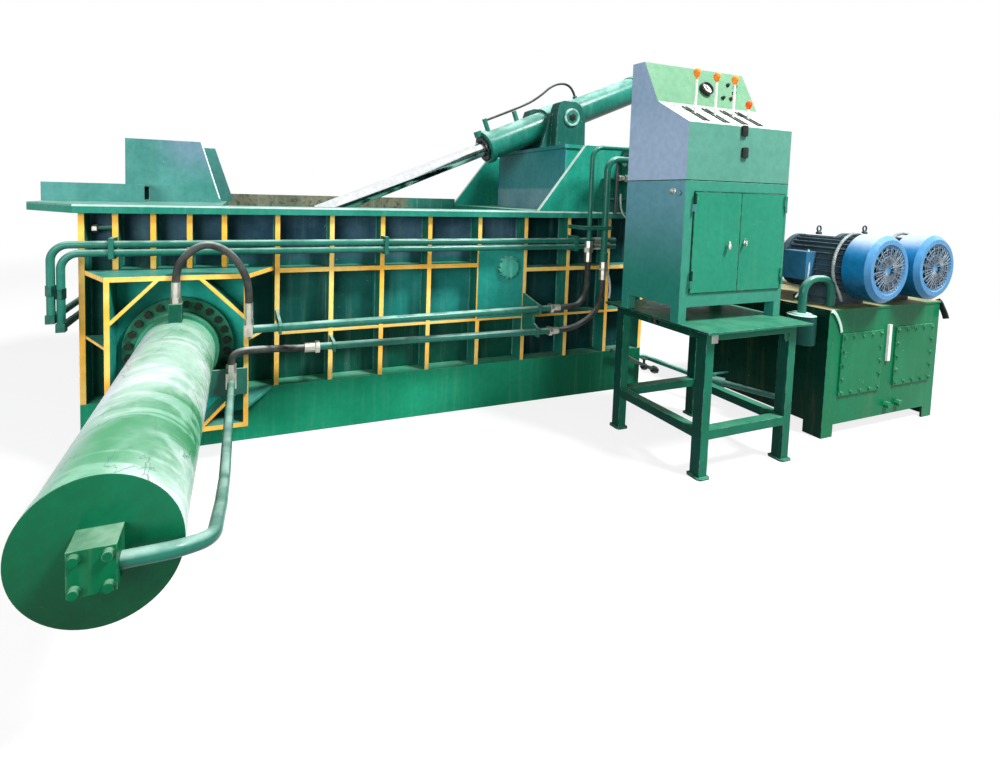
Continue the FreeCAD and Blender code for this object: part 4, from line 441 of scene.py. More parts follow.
# %% Frame green
YELLOW = (0.90, 0.46, 0.05)
YELLOW_PALE = (0.95, 0.64, 0.18)
CHALK = (0.45, 0.55, 0.50)
frame_green = Paint("frame_green", (0.008, 0.165, 0.105), (0.020, 0.225, 0.155), under=CHALK,
                    dust_and_sheen_amount=0.22, streaks=0.10, gloss=0.24)
give(frame_green, "end_walls", "main_cylinder", "lid", "gate", "gate_guides", "gate_cylinder",
     "valve_blocks", "valve_handle")

# %% [markdown]
# The upper part of the top flange's front edge is painted pale as a highlight, and the pale dust on its
# top is partly a painted sheen. The shaft's nuts are a lighter green under dust, with painted shade where
# they turn down and away from the camera.

# %% Flange and shaft
FLANGE_UNDER, FLANGE_TOP = 1170, 1210
flange = Paint("flange_green", (0.014, 0.190, 0.130), (0.030, 0.245, 0.180), under=CHALK,
               streaks=0.06, dust_and_sheen_amount=0.6, dust_and_sheen=(0.34, 0.52, 0.46), gloss=0.24)
# painted highlight: a pale band along the upper front edge of the flange
painted_edge_highlight = flange.all_of(flange.between("Z", FLANGE_TOP - 8.5, FLANGE_TOP + 1.5, 1.2), flange.front())
flange.lay(painted_edge_highlight, (0.36, 0.56, 0.50), (0.62, 0.74, 0.70))
give(flange, "top_flange")
shaft_green = Paint("shaft_green", (0.030, 0.300, 0.215), (0.050, 0.360, 0.270), under=(0.7, 0.8, 0.76),
                    dust_and_sheen_amount=0.9, dust_and_sheen=(0.60, 0.80, 0.72), gloss=0.22, chips=0.9, radius=0.003)
# painted shade on the nuts' faces that turn down and away
painted_shade_below = shaft_green.all_of(shaft_green.looking("Z", -0.6, 0.1, 1.0, 0.0),
                              shaft_green.looking("Y", -0.6, -0.3))
shaft_green.lay(painted_shade_below, (0.003, 0.045, 0.035), (0.004, 0.060, 0.045))
give(shaft_green, "hinge_shaft")

# %% [markdown]
# The base lies in the machine's own shadow towards the right. The wall behind the ribs is a duller,
# mottled slate green, and its rows of bays carry painted light and shade: painted shade under the
# flange, painted light on the middle row, the cabinet's painted shadow on the right, and a darker green
# below the lower rail.

# %% Base and near wall
LOWER_RAIL_TOP, UPPER_RAIL_UNDER = 557, 868
base_green = Paint("base_green", (0.007, 0.225, 0.115), (0.014, 0.290, 0.155), under=CHALK,
                   dust_and_sheen_amount=0.35, streaks=0.10, gloss=0.28, tone=1.2)
shadow_end = base_green.along("X", 2355, 2655)
base_green.lay(shadow_end, (0.001, 0.080, 0.040), (0.002, 0.110, 0.055))
give(base_green, "base_frame")
slate = Paint("wall_slate", (0.006, 0.075, 0.062), (0.012, 0.110, 0.092), under=CHALK, tone=4.0,
              streaks=0.12, dust_and_sheen_amount=0.3, gloss=0.34)
low_bays = slate.between("Z", 0, LOWER_RAIL_TOP - 4, 4)
# painted light on the middle row of bays
painted_lit_bays = slate.all_of(slate.between("X", 1425, 2345, 20),
                           slate.between("Z", LOWER_RAIL_TOP + 5, UPPER_RAIL_UNDER + 2, 10))
# painted shade in the high bays under the flange, and the cabinet's painted shadow on the right
painted_shade_high_bays = slate.between("Z", 930, 1200, 30)
painted_shadow_right_bays = slate.along("X", 2345, 2385)
slate.lay(low_bays, (0.003, 0.060, 0.036), (0.006, 0.085, 0.056))
slate.lay(painted_lit_bays, (0.012, 0.175, 0.150), (0.022, 0.235, 0.205))
slate.lay(painted_shade_high_bays, (0.022, 0.065, 0.100), (0.060, 0.135, 0.190))
slate.lay(painted_shadow_right_bays, (0.001, 0.022, 0.022), (0.006, 0.045, 0.045))
give(slate, "front_wall")

# %% [markdown]
# The front edges of ribs and rails are picked out in yellow, as a warning, and the green shows where it
# has chipped. The flush panel between two ribs is not an edge, so it is left out of the mask.

# %% Ribs
RIB_DEEP, PANEL_TOP = 95, 1001
amber = Paint("rib_amber", (0.006, 0.120, 0.085), (0.014, 0.170, 0.125), under=CHALK, streaks=0.10,
              dust_and_sheen_amount=0.25, gloss=0.28)
outer = amber.all_of(amber.front(), amber.between("Y", -2, 4, 1))
panel = amber.all_of(amber.between("X", 2040, 2352, 2),
                     amber.between("Z", LOWER_RAIL_TOP - 4, PANEL_TOP + 1, 2))
amber.lay(panel, (0.014, 0.250, 0.200), (0.026, 0.300, 0.250))
amber.lay(amber.all_of(outer, amber.all_but(panel)), YELLOW, YELLOW_PALE)
give(amber, "front_ribs")

# %% [markdown]
# The side cylinder's bracket carries the same yellow on the front of its box, and along the two thin
# edges that slope back to the wall. Deep inside it, its back plates are painted a brighter green, as
# painted light.

# %% Bracket
BRACKET_TOP, BRACKET_DEEP = 905, 225
bracket = Paint("bracket_green", (0.010, 0.200, 0.150), (0.022, 0.260, 0.205), under=CHALK,
                streaks=0.10, gloss=0.26)
box_edge = bracket.all_of(bracket.front(), bracket.between("Y", -BRACKET_DEEP - 3, -BRACKET_DEEP + 3, 1))
sloped = bracket.all_of(bracket.front(-0.25, -0.1), bracket.between("Y", -BRACKET_DEEP + 3, -3, 2))
plates = bracket.any_of(bracket.between("Z", BRACKET_TOP - 21.5, BRACKET_TOP - 0.5, 0.5),
                        bracket.between("Z", 586.5, 599.5, 0.5))
bracket.lay(bracket.any_of(box_edge, bracket.all_of(sloped, plates)), YELLOW, YELLOW_PALE)
# painted light on the back plates deep inside the bracket
painted_light_deep = bracket.all_of(bracket.between("Y", -96, -38, 4), bracket.front())
bracket.lay(painted_light_deep, (0.020, 0.420, 0.330), (0.040, 0.500, 0.410))
give(bracket, "cylinder_bracket")

# %% [markdown]
# The side cylinder was sprayed twice. Its tube is a pale green over a dark one, rubbed and cloudy. One
# cloud, drawn out across the tube, makes the smears. Two steps make the neck's end plainer and lay a
# cold, pale painted reflection of the sky on the left side.

# %% The side cylinder's tube
mint = Paint("cylinder_mint", (0.045, 0.255, 0.110), (0.46, 0.66, 0.56), under=(0.03, 0.10, 0.06),
             streaks=0.0, gloss=0.2, tone=2.2, chips=0.35, shine=0.12)
smears = ramp(mint.tree, mint.cloud((2.2, 9.0, 5.0), 0.6, 1.6), 0.46, 0.62)
mint.lay(smears, (0.20, 0.46, 0.31), (0.72, 0.78, 0.80))
near_neck = mint.along("Y", -560, -215, 0.0, 0.75)
mint.lay(near_neck, (0.07, 0.31, 0.16), (0.17, 0.44, 0.28))
# painted reflection of the sky on the faces that look left
painted_sky_on_left = mint.looking("X", -0.85, -0.30, 0.8, 0.0)
mint.lay(painted_sky_on_left, (0.36, 0.50, 0.48), (0.66, 0.68, 0.80))

# %% [markdown]
# Fine cracks run through the pale coat, and the old one shows in them. A Voronoi texture gives the
# distance to the nearest crack. Bending its places with a cloud takes the straightness out, and the same
# cloud lets the cracks come and go.

# %% Cracks in the pale coat
warp = mint.cloud((3.1, 2.3, 3.1), 0.6, 1.2)
bent = node(mint.tree, "ShaderNodeVectorMath", operation="MULTIPLY_ADD")
feed(mint.tree, bent.inputs, {0: mint.spot, 1: (5.0, 3.0, 5.0), 2: warp})
cracks = node(mint.tree, "ShaderNodeTexVoronoi", feature="DISTANCE_TO_EDGE")
feed(mint.tree, cracks.inputs, {"Vector": bent.outputs[0], "Scale": 1.0})
old_coat = mint.all_of(ramp(mint.tree, cracks.outputs["Distance"], 0.004, 0.012, 0.55, 0.0),
                       ramp(mint.tree, warp, 0.50, 0.58))
mint.lay(old_coat, (0.02, 0.07, 0.05), (0.03, 0.09, 0.07))

# %% [markdown]
# The end disc and the neck kept the darker green, and painted shade darkens the disc towards the floor.
# The tube, the neck and the disc are one piece, so one material does them all, with masks along Y.

# %% The side cylinder's neck and disc
SIDE_REAR, SIDE_CAP = -1493, 48
neck = mint.between("Y", -203, 10, 3)
mint.lay(neck, (0.020, 0.170, 0.090), (0.040, 0.240, 0.140))
disc = mint.all_of(mint.between("Y", SIDE_REAR - 7, SIDE_REAR + SIDE_CAP - 0.5, 1.5),
                   mint.front(-0.6, -0.3))
mint.lay(disc, (0.002, 0.110, 0.046), (0.005, 0.135, 0.062))
# painted shade: the disc darker towards the floor
shaded_low_disc = mint.all_of(disc, mint.along("Z", 340, 700, 0.85, 0.0))
mint.lay(shaded_low_disc, (0.001, 0.035, 0.012), (0.001, 0.045, 0.016))
give(mint, "side_cylinder")

# %% [markdown]
# The port block was painted with the machine, and its saddle is painted darker, as shade. The hexagon
# heads are blackened steel, dull with a little grey dust.

# %% Port blocks and bolts
port = Paint("port_green", (0.001, 0.105, 0.040), (0.004, 0.140, 0.060), under=(0.30, 0.50, 0.38),
             streaks=0.05, gloss=0.3, dust_and_sheen_amount=0.5, dust_and_sheen=(0.40, 0.60, 0.45))
# painted shade on the saddle
port.lay(port.between("Z", 680, 900, 5), (0.004, 0.060, 0.038), (0.008, 0.085, 0.055))
give(port, "port_blocks")
oxide = Paint("black_oxide", (0.003, 0.006, 0.005), (0.008, 0.014, 0.012), under=(0.20, 0.26, 0.23),
              streaks=0.0, gloss=0.34, radius=0.002, tone=30.0, chips=0.4, shine=0.25, dust_and_sheen_amount=0.15)
give(oxide, "flange_bolts")

# %% [markdown]
# The far wall is scrap's side of the machine: the paint is worn off to rust and bare plate, with dark
# flecks. Right of its middle the coat is fresher. Only its chamber side is worn, so the outside and the
# ribs get their green back, and their far edges the warning yellow.

# %% Far wall
FAR_FACE = BOX_DEEP - RIB_DEEP
rust = Paint("inner_rust", (0.120, 0.125, 0.085), (0.210, 0.205, 0.145), under=(0.20, 0.10, 0.05),
             tone=4.0, streaks=0.35, chips=0.8, gloss=0.5)
outside = rust.between("Y", FAR_FACE - 2, BOX_DEEP + 100, 1)
rust.lay(outside, (0.006, 0.100, 0.075), (0.014, 0.150, 0.115))
rust.lay(rust.between("Y", BOX_DEEP - 4, BOX_DEEP + 10, 1), YELLOW, YELLOW_PALE)
chamber_side = rust.between("Y", FAR_FACE - 105, FAR_FACE - 3.5, 1)
speckle = ramp(rust.tree, rust.cloud((26.0, 26.0, 26.0), 0.7, 0.6), 0.53, 0.60, 0.0, 0.8)
rust.lay(rust.all_of(speckle, chamber_side), (0.024, 0.060, 0.042), (0.040, 0.080, 0.058))
fresh = rust.all_of(rust.along("X", 1950, 2050), chamber_side)
rust.lay(fresh, (0.014, 0.130, 0.098), (0.028, 0.175, 0.135))
give(rust, "back_wall")

# %% [markdown]
# The cheek plate and the beam on the overhang are a colder green. A bluish painted sheen lies along the
# cheek's slanting edge, and the edge itself is bare and painted near white as a highlight. A value that
# is zero on the slanting line and grows to the right makes both: x less the line's own x at that height.
# The beam's inside is painted dark, as shade.

# %% Cheek and beam
GUARD_HEAD, GUARD_FOOT, GUARD_THICK = 605, 724, 20
CHEEK_TOP, CHEEK_FACE, DECK_TOP = 1580, 690, 810
BEAM_LEFT, BEAM_RIGHT, BEAM_FRONT, BEAM_BACK, BEAM_WALL = -300, 185, 500, 680, 12
guard_slope = (GUARD_FOOT - GUARD_HEAD) / (FLANGE_UNDER - DECK_TOP)
edge_head = GUARD_HEAD - (CHEEK_TOP - FLANGE_UNDER) * guard_slope
edge_foot = GUARD_HEAD - GUARD_THICK / 2
slant = (edge_foot - edge_head) / (CHEEK_TOP - FLANGE_UNDER)
teal = Paint("tower_teal", (0.045, 0.200, 0.175), (0.075, 0.265, 0.240), under=CHALK, streaks=0.10,
             dust_and_sheen_amount=0.25, gloss=0.26)
line_start = metres("X", edge_head) + slant * metres("Z", CHEEK_TOP)
past_edge = maths(teal.tree, "ADD", teal.where["X"], times(teal.tree, teal.where["Z"], slant))
past_edge = maths(teal.tree, "SUBTRACT", past_edge, line_start)
# painted shade inside the hollow beam
shaded_hollow = teal.all_of(teal.between("Y", BEAM_FRONT + BEAM_WALL - 1, BEAM_BACK - BEAM_WALL + 1, 1),
                     teal.between("X", BEAM_LEFT + 5, BEAM_RIGHT - 2.5, 1),
                     teal.between("Z", FLANGE_TOP - 50, FLANGE_TOP + 94, 1))
teal.lay(shaded_hollow, (0.002, 0.012, 0.010), (0.003, 0.016, 0.014))
cheek = teal.between("Y", CHEEK_FACE - 1, CHEEK_FACE + 3, 1)
# painted sheen along the cheek's slanting edge
sheen = teal.all_of(cheek, ramp(teal.tree, past_edge, -0.34, -0.10), teal.along("Z", 1300, 1560))
teal.lay(sheen, (0.105, 0.210, 0.260), (0.150, 0.250, 0.330))
# painted highlight on the bare slanting edge
bare_and_lit_edge = teal.all_of(cheek, ramp(teal.tree, past_edge, -0.0085, -0.0065), teal.along("Z", 1230, 1240))
teal.lay(bare_and_lit_edge, (0.72, 0.82, 0.80), (0.80, 0.88, 0.86))
give(teal, "end_cover", "gate_beam")

# %% [markdown]
# The bearings are dark under pale chips. The tower's plates are green, its column is bluer, and paler
# low down, and the edges that face up and to the left are painted pale as highlights.

# %% Bearings and tower
bearing = Paint("bearing_teal", (0.010, 0.085, 0.068), (0.028, 0.130, 0.108), under=(0.75, 0.78, 0.76),
                streaks=0.08, dust_and_sheen_amount=0.4, gloss=0.26, chips=0.8)
give(bearing, "trunnion_bearings")
tower_green = Paint("tower_green", (0.008, 0.195, 0.135), (0.016, 0.245, 0.175), under=CHALK,
                    streaks=0.10, gloss=0.24)
column = tower_green.all_of(tower_green.between("X", 2780, 2812, 2),
                            tower_green.between("Y", 200, 1200, 2))
tower_green.lay(column, (0.030, 0.215, 0.230), (0.052, 0.265, 0.290))
pale_low = tower_green.all_of(column, tower_green.between("Z", 1000, 1360, 12))
tower_green.lay(pale_low, (0.110, 0.270, 0.310), (0.190, 0.360, 0.410))
# painted highlight on the edges that face up and to the left
painted_highlight_edges = tower_green.all_of(tower_green.left(-0.6, -0.4), tower_green.looking("Z", 0.2, 0.4))
tower_green.lay(painted_highlight_edges, (0.55, 0.72, 0.64), (0.75, 0.86, 0.80))
give(tower_green, "tower")

# %% [markdown]
# The lid cylinder and the pipes are the glossiest paint. The pale dust on their upper sides is also a
# painted sheen of the sky. Fittings are zinc plated, except on the lines that wrap round the left end,
# where they were painted over.

# %% Barrel, pipes and fittings
# pale tops: dust and a painted sheen of the sky
barrel = Paint("barrel_green", (0.006, 0.130, 0.092), (0.016, 0.185, 0.140), streaks=0.06, gloss=0.2,
               shine=0.16, dust_and_sheen_amount=0.8, dust_and_sheen=(0.42, 0.66, 0.60))
give(barrel, "lid_cylinder")
# pale tops: dust and a painted sheen of the sky
pipes = Paint("pipe_green", (0.009, 0.118, 0.082), (0.018, 0.158, 0.114), streaks=0.03, gloss=0.14,
              radius=0.002, shine=0.2, dust_and_sheen_amount=0.75, dust_and_sheen=(0.42, 0.62, 0.55))
give(pipes, "wall_pipes", "riser_pipes", "rear_pipe", "tank_pipes", "pipe_clamps")
zinc = Paint("zinc", (0.42, 0.41, 0.36), (0.56, 0.55, 0.49), under=(0.25, 0.22, 0.17), streaks=0.0,
             gloss=0.28, metal=0.85, radius=0.002, tone=30.0, shine=0.5)
zinc.lay(zinc.between("X", -545, 0, 1), (0.012, 0.085, 0.062), (0.024, 0.120, 0.090))
give(zinc, "pipe_fittings")

# %% [markdown]
# The rods are hard chrome, which shows the surroundings, so they need almost no pattern of their own. The
# pumps are plain bright steel.

# %% Chrome and steel
chrome = Paint("chrome_rod", (0.90, 0.92, 0.93), (0.93, 0.95, 0.96), streaks=0.0, chips=0.0,
               dust_and_sheen_amount=0.0, gloss=0.06, metal=1.0, bump=0.00003, shine=0.5)
give(chrome, "lid_rod", "side_ram", "main_ram")
steel = Paint("bright_steel", (0.40, 0.41, 0.41), (0.55, 0.55, 0.54), streaks=0.1, gloss=0.35,
              metal=0.9, shine=0.5)
give(steel, "pumps")

# %% [markdown]
# The lever cabinet is green in front. Its left side is painted darker as shade, and high up it carries a
# painted blue-grey reflection of the sky. The doors are a plain green, and painted shade darkens the gap
# round each, which a mask of the leaves less their rim gives.

# %% Cabinet and doors
cabinet = Paint("cabinet_green", (0.034, 0.225, 0.155), (0.046, 0.255, 0.180), under=CHALK,
                streaks=0.0, gloss=0.3, tone=1.2, dust_and_sheen_amount=0.15)
# painted shade on the left side
shaded_left_face = cabinet.left()
cabinet.lay(shaded_left_face, (0.014, 0.190, 0.140), (0.022, 0.215, 0.165))
# painted reflection of the sky, high on the left side
painted_sky_high_left = cabinet.all_of(shaded_left_face, cabinet.along("Z", 860, 1360, 0.05, 1.0))
cabinet.lay(painted_sky_high_left, (0.130, 0.320, 0.400), (0.160, 0.350, 0.440))
give(cabinet, "cabinet")
LEAVES, DOOR_LOW, DOOR_TOP, RIM = ((2719, 3027), (3028.5, 3340)), 855, 1343, 2.5
door = Paint("door_green", (0.018, 0.215, 0.130), (0.024, 0.240, 0.148), under=CHALK, streaks=0.05,
             gloss=0.3, tone=1.0, dust_and_sheen_amount=0.1)
flat = door.any_of(*(door.between("X", low + RIM, high - RIM, 0.6) for low, high in LEAVES))
flat = door.all_of(flat, door.between("Z", DOOR_LOW + RIM, DOOR_TOP - RIM, 0.6))
# painted shade in the gap round each door
door.lay(door.all_but(flat), (0.004, 0.050, 0.032), (0.006, 0.065, 0.042))
give(door, "left_door", "right_door")

# %% [markdown]
# Each panel of the upper case is painted for how the light falls on it: green in front, a blue-grey
# painted sky reflection on the left, and painted light that makes the desk and whatever else faces up
# nearly white. Through the levers' slots it is dark, so painted shade makes whatever lies inside the sheet
# and under the desk's slope nearly black. A dark line of painted shade marks the seam with the lower case.

# %% Console
CASE_LEFT, CASE_RIGHT, SEAM = 2662, 3361, 1394
DESK_LOW, DESK_HIGH = np.array((0, -874, 1668)), np.array((0, -682, 1793))
console = Paint("console_pale", (0.120, 0.270, 0.160), (0.155, 0.315, 0.195), under=CHALK,
                streaks=0.0, gloss=0.32, tone=1.5, dust_and_sheen_amount=0.1)
console.lay(console.front(-0.98, -0.95), (0.080, 0.265, 0.200), (0.100, 0.290, 0.225))
# painted light on the faces that look up, the desk's slope among them
console.lay(console.looking("Z", 0.7, 0.8), (0.520, 0.600, 0.520), (0.580, 0.640, 0.570))
# painted reflection of the sky on the faces that look left
console.lay(console.left(), (0.330, 0.455, 0.640), (0.390, 0.520, 0.720))
desk_slope = (DESK_HIGH[2] - DESK_LOW[2]) / (DESK_HIGH[1] - DESK_LOW[1])
desk_start = metres("Z", DESK_LOW[2]) - desk_slope * metres("Y", DESK_LOW[1])
desk_level = maths(console.tree, "ADD", desk_start, times(console.tree, console.where["Y"], desk_slope))
above_desk = maths(console.tree, "SUBTRACT", console.where["Z"], desk_level)
# painted shade inside the case, seen through the slots
shaded_interior = console.all_of(ramp(console.tree, above_desk, -0.004, -0.002, 1.0, 0.0),
                        console.between("X", CASE_LEFT + 5, CASE_RIGHT - 5, 0.5),
                        console.between("Y", DESK_LOW[1] + 5, DESK_HIGH[1] - 8, 0.5))
console.lay(shaded_interior, (0.006, 0.010, 0.009), (0.010, 0.016, 0.014))
# painted shade along the seam with the lower case
shaded_seam = console.between("Z", SEAM - 0.5, SEAM + 4.5, 0.4)
console.lay(shaded_seam, (0.010, 0.040, 0.034), (0.010, 0.040, 0.034))
give(console, "console")

# %% [markdown]
# The stand is dark on its left, where the press shades it. The levers are bright steel with moulded knobs,
# orange on the three long ones and red on the short one: one paint does all, with masks by place.

# %% Stand and levers
stand = Paint("stand_green", (0.005, 0.125, 0.070), (0.012, 0.165, 0.096), under=CHALK, streaks=0.08,
              gloss=0.3, dust_and_sheen_amount=0.3, dust_and_sheen=(0.14, 0.36, 0.24), chips=0.7)
stand.lay(stand.left(), (0.003, 0.040, 0.028), (0.006, 0.055, 0.040))
give(stand, "stand")
lever = Paint("lever_steel", (0.80, 0.80, 0.77), (0.86, 0.86, 0.83), streaks=0.0, gloss=0.3,
              chips=0.1)
long_knobs = lever.all_of(lever.between("Z", 1891.5, 2000, 1), lever.between("X", 2655, 3105, 10))
lever.lay(long_knobs, (0.88, 0.25, 0.03), (0.9856, 0.28, 0.0336))
short_knob = lever.all_of(lever.between("Z", 1776.5, 1870, 1), lever.between("X", 3135, 3255, 10))
lever.lay(short_knob, (0.80, 0.11, 0.02), (0.896, 0.1232, 0.0224))
give(lever, "lever_1", "lever_2", "lever_3", "lever_4")

# %% [markdown]
# Moulded parts have their colour all through, so they do not streak, and what is a chip on enamel is a
# grey scuff on them. The fans' plastic is dull with dust.

# %% Moulded parts
black = Paint("moulded_black", (0.010, 0.010, 0.012), (0.020, 0.020, 0.022), streaks=0.0, gloss=0.4,
              tone=20.0, radius=0.002, shine=0.4)
give(black, "panel_fittings", "gauge_pointer")
fan = Paint("fan_black", (0.012, 0.013, 0.014), (0.022, 0.023, 0.025), streaks=0.0, gloss=0.5,
            dust_and_sheen_amount=0.5, tone=12.0)
give(fan, "fan_1", "fan_2")
red = Paint("button_red", (0.30, 0.014, 0.012), (0.38, 0.02, 0.016), streaks=0.0, gloss=0.2,
            chips=0.1, tone=40.0)
give(red, "button_2")
green_button = Paint("button_green", (0.008, 0.05, 0.025), (0.012, 0.07, 0.035), streaks=0.0,
                     gloss=0.2, chips=0.1, tone=40.0)
give(green_button, "button_1", "button_3")

# %% [markdown]
# The power pack keeps the cleanest paint. The tank's left face lies in the shade of the stand, and its
# top is brown with dried oil and dust. Among its fittings the sight glass is white and the filter can
# dark with a pale lid.

# %% Tank
tank = Paint("tank_green", (0.001, 0.150, 0.060), (0.003, 0.180, 0.076), under=(0.35, 0.60, 0.42),
             streaks=0.06, gloss=0.26, dust_and_sheen_amount=0.9, dust_and_sheen=(0.42, 0.32, 0.18), tone=1.6)
tank.lay(tank.left(-0.9, -0.7), (0.001, 0.022, 0.014), (0.002, 0.032, 0.020))
give(tank, "tank")
fittings = Paint("cover_green", (0.004, 0.150, 0.058), (0.008, 0.185, 0.078),
                 under=(0.45, 0.70, 0.52), streaks=0.05, gloss=0.28, dust_and_sheen_amount=0.25, radius=0.003,
                 chips=0.9)
sight = fittings.all_of(fittings.between("X", 4248, 4277, 1), fittings.between("Z", 390, 615, 1))
fittings.lay(sight, (0.80, 0.80, 0.74), (0.90, 0.90, 0.85))
can = fittings.between("X", 3560, 3725, 1)
fittings.lay(can, (0.004, 0.045, 0.036), (0.008, 0.06, 0.05))
can_lid = fittings.all_of(can, fittings.between("Z", 679.5, 700, 0.5))
fittings.lay(can_lid, (0.36, 0.60, 0.52), (0.50, 0.72, 0.64))
give(fittings, "tank_fittings")

# %% [markdown]
# The motors are dark blue, with brighter terminal boxes, and their fan cowls a bright sky blue. The
# cowls carry a pale painted reflection of the sky on their crowns, and painted shade underneath.

# %% Motors
motor = Paint("motor_blue", (0.024, 0.050, 0.066), (0.060, 0.100, 0.125), under=(0.3, 0.35, 0.38),
              streaks=0.04, gloss=0.3, dust_and_sheen_amount=0.35, dust_and_sheen=(0.20, 0.25, 0.28))
terminal_boxes = motor.any_of(motor.between("X", 3780, 3860, 2), motor.between("X", 4222, 4300, 2))
motor.lay(terminal_boxes, (0.014, 0.115, 0.230), (0.040, 0.165, 0.290))
give(motor, "motor_1", "motor_2")
cowl = Paint("cowl_blue", (0.004, 0.165, 0.400), (0.018, 0.215, 0.480), under=(0.5, 0.6, 0.65),
             streaks=0.04, gloss=0.2, shine=0.14, dust_and_sheen_amount=0.5, dust_and_sheen=(0.45, 0.55, 0.62))
# painted shade under the cowls
cowl.lay(cowl.looking("Z", -0.75, 0.10, 1.0, 0.0), (0.002, 0.055, 0.110), (0.008, 0.080, 0.150))
# painted reflection of the sky on the cowls' crowns
cowl.lay(cowl.looking("Z", 0.55, 0.92), (0.260, 0.340, 0.560), (0.420, 0.500, 0.720))
cowl.lay(cowl.front(-0.8, -0.5), (0.055, 0.225, 0.440), (0.090, 0.275, 0.500))
give(cowl, "cowl_1", "cowl_2")

# %% [markdown]
# Hose rubber is dull, and a pale painted highlight, laid as dust, runs all along its upper side. It
# neither streaks nor chips.

# %% Rubber
# the pale layer on top is a painted highlight
rubber = Paint("hose_rubber", (0.030, 0.034, 0.032), (0.060, 0.066, 0.062), streaks=0.0, gloss=0.4,
               dust_and_sheen_amount=1.0, dust_and_sheen=(0.42, 0.46, 0.44), chips=0.0, tone=14.0)
for piece in hoses:
    piece.data.materials.append(rubber.material)
print("materials:", len(bpy.data.materials))

# %% [markdown]
# The last pieces are too small for the drawing: weld beads, a gauge's dial, wire grilles, door pulls,
# cables and thin hoses. Each one is a surface given by a formula of two numbers, s along the piece and t
# round it. Rings of points are worked out with numpy and joined by four-sided faces, and each end is
# closed with a fan, so that every piece is a sealed skin with its faces outward.

# %% Surfaces from rings of points
UP, DOWN = (0, 0, 1), (0, 0, -1)
RIGHT, LEFT = (1, 0, 0), (-1, 0, 0)
BACK, FRONT = (0, 1, 0), (0, -1, 0)


def skin(name, body, paint, rings, looped=False):
    """Closed skins P(i, j), with i along a piece and j round it, from the drawing's points. A looped
    one joins its last ring to its first; any other has a fan over each end, to the ring's middle."""
    points, faces, start = [], [], 0
    for ring in rings:
        rows, around = ring.shape[:2]
        j = np.arange(around)
        k = (j + 1) % around
        for i in range(rows if looped else rows - 1):
            low, high = start + i * around, start + (i + 1) % rows * around
            faces += np.stack([low + j, low + k, high + k, high + j], 1).tolist()
        points.append(ring.reshape(-1, 3))
        if not looped:
            points.append(np.stack([ring[0].mean(axis=0), ring[-1].mean(axis=0)]))
            first = start + rows * around
            last = start + (rows - 1) * around
            faces += np.stack([np.full(around, first), start + k, start + j], 1).tolist()
            faces += np.stack([np.full(around, first + 1), last + j, last + k], 1).tolist()
        start += rows * around + (0 if looped else 2)
    points = (np.concatenate(points) - MIDDLE) / 1000
    mesh = bpy.data.meshes.new(name)
    mesh.from_pydata(points.tolist(), [], faces)
    mesh.shade_smooth()
    mesh.set_sharp_from_angle(angle=math.radians(35))
    mesh.materials.append(paint.material)
    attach(placed(name, mesh), body)
    print(name, "on", body, "with", len(faces), "faces")


def curved(corners, steps=10):
    """C(s): a Catmull-Rom curve through the corners, with steps pieces between each two."""
    p = np.asarray([corners[0], *corners, corners[-1]], float)
    s = np.linspace(0, 1, steps, endpoint=False)[:, None]
    parts = [0.5 * (2 * b + (c - a) * s + (2 * a - 5 * b + 4 * c - d) * s ** 2
                    + (3 * b - a - 3 * c + d) * s ** 3)
             for a, b, c, d in zip(p, p[1:], p[2:], p[3:])]
    return np.concatenate([*parts, p[-1:]])


def swept(path, radius, around=12, up=UP, wide=1.0, power=2.0):
    """P(s, t) = C(s) + r(s) (f(cos t) N + w f(sin t) B), with T along the path, N = up made square
    to T, B = T x N and f(v) = sign(v) |v|^(2 / power), which squares the section off."""
    path = np.asarray(path, float)
    ahead = np.gradient(path, axis=0)
    ahead /= np.linalg.norm(ahead, axis=1, keepdims=True)
    north = np.asarray(up, float) - (ahead @ np.asarray(up, float))[:, None] * ahead
    north /= np.linalg.norm(north, axis=1, keepdims=True)
    side = np.cross(ahead, north)
    t = np.linspace(0, 2 * np.pi, around, endpoint=False) + np.pi / around
    across = [np.sign(v) * np.abs(v) ** (2 / power) for v in (np.cos(t), np.sin(t))]
    r = np.broadcast_to(np.asarray(radius, float), len(path))[:, None, None]
    return path[:, None] + r * (across[0][None, :, None] * north[:, None]
                                + wide * across[1][None, :, None] * side[:, None])


def lathed(centre, axis, profile, around=40, sides=0, notches=0, up=UP):
    """P(s, t) = C + a(s) A + r(s) q(t) (cos t N + sin t B). For a bar of n sides q(t) is
    cos(pi/n) / cos(m - pi/n), with m the rest of t over 2 pi/n; for notches q(t) dips by a tenth."""
    axis = np.asarray(axis, float) / np.linalg.norm(axis)
    north = np.asarray(up, float) - np.dot(up, axis) * axis
    north /= np.linalg.norm(north)
    side = np.cross(axis, north)
    t = np.linspace(0, 2 * np.pi, around, endpoint=False)
    q = np.ones(around)
    if sides:
        q = np.cos(np.pi / sides) / np.cos(t % (2 * np.pi / sides) - np.pi / sides)
    if notches:
        q = np.where(np.cos(notches * t) > 0.55, 0.9, 1.0)
    along, radius = np.asarray(profile, float).T
    turn = np.cos(t)[:, None] * north + np.sin(t)[:, None] * side
    return (np.asarray(centre, float) + along[:, None, None] * axis
            + radius[:, None, None] * (q[:, None] * turn)[None])


def nut(centre, axis, across, length):
    """A hexagon nut with bevelled ends: over 0.12 of its length, r(s) rises to the full width."""
    r, bevel = across / 2 / math.cos(math.pi / 6), 0.12 * length
    return lathed(centre, axis, [(0, 0.86 * r), (bevel, r), (length - bevel, r), (length, 0.86 * r)],
                  36, sides=6)


print("helpers: skin, curved, swept, lathed, nut")

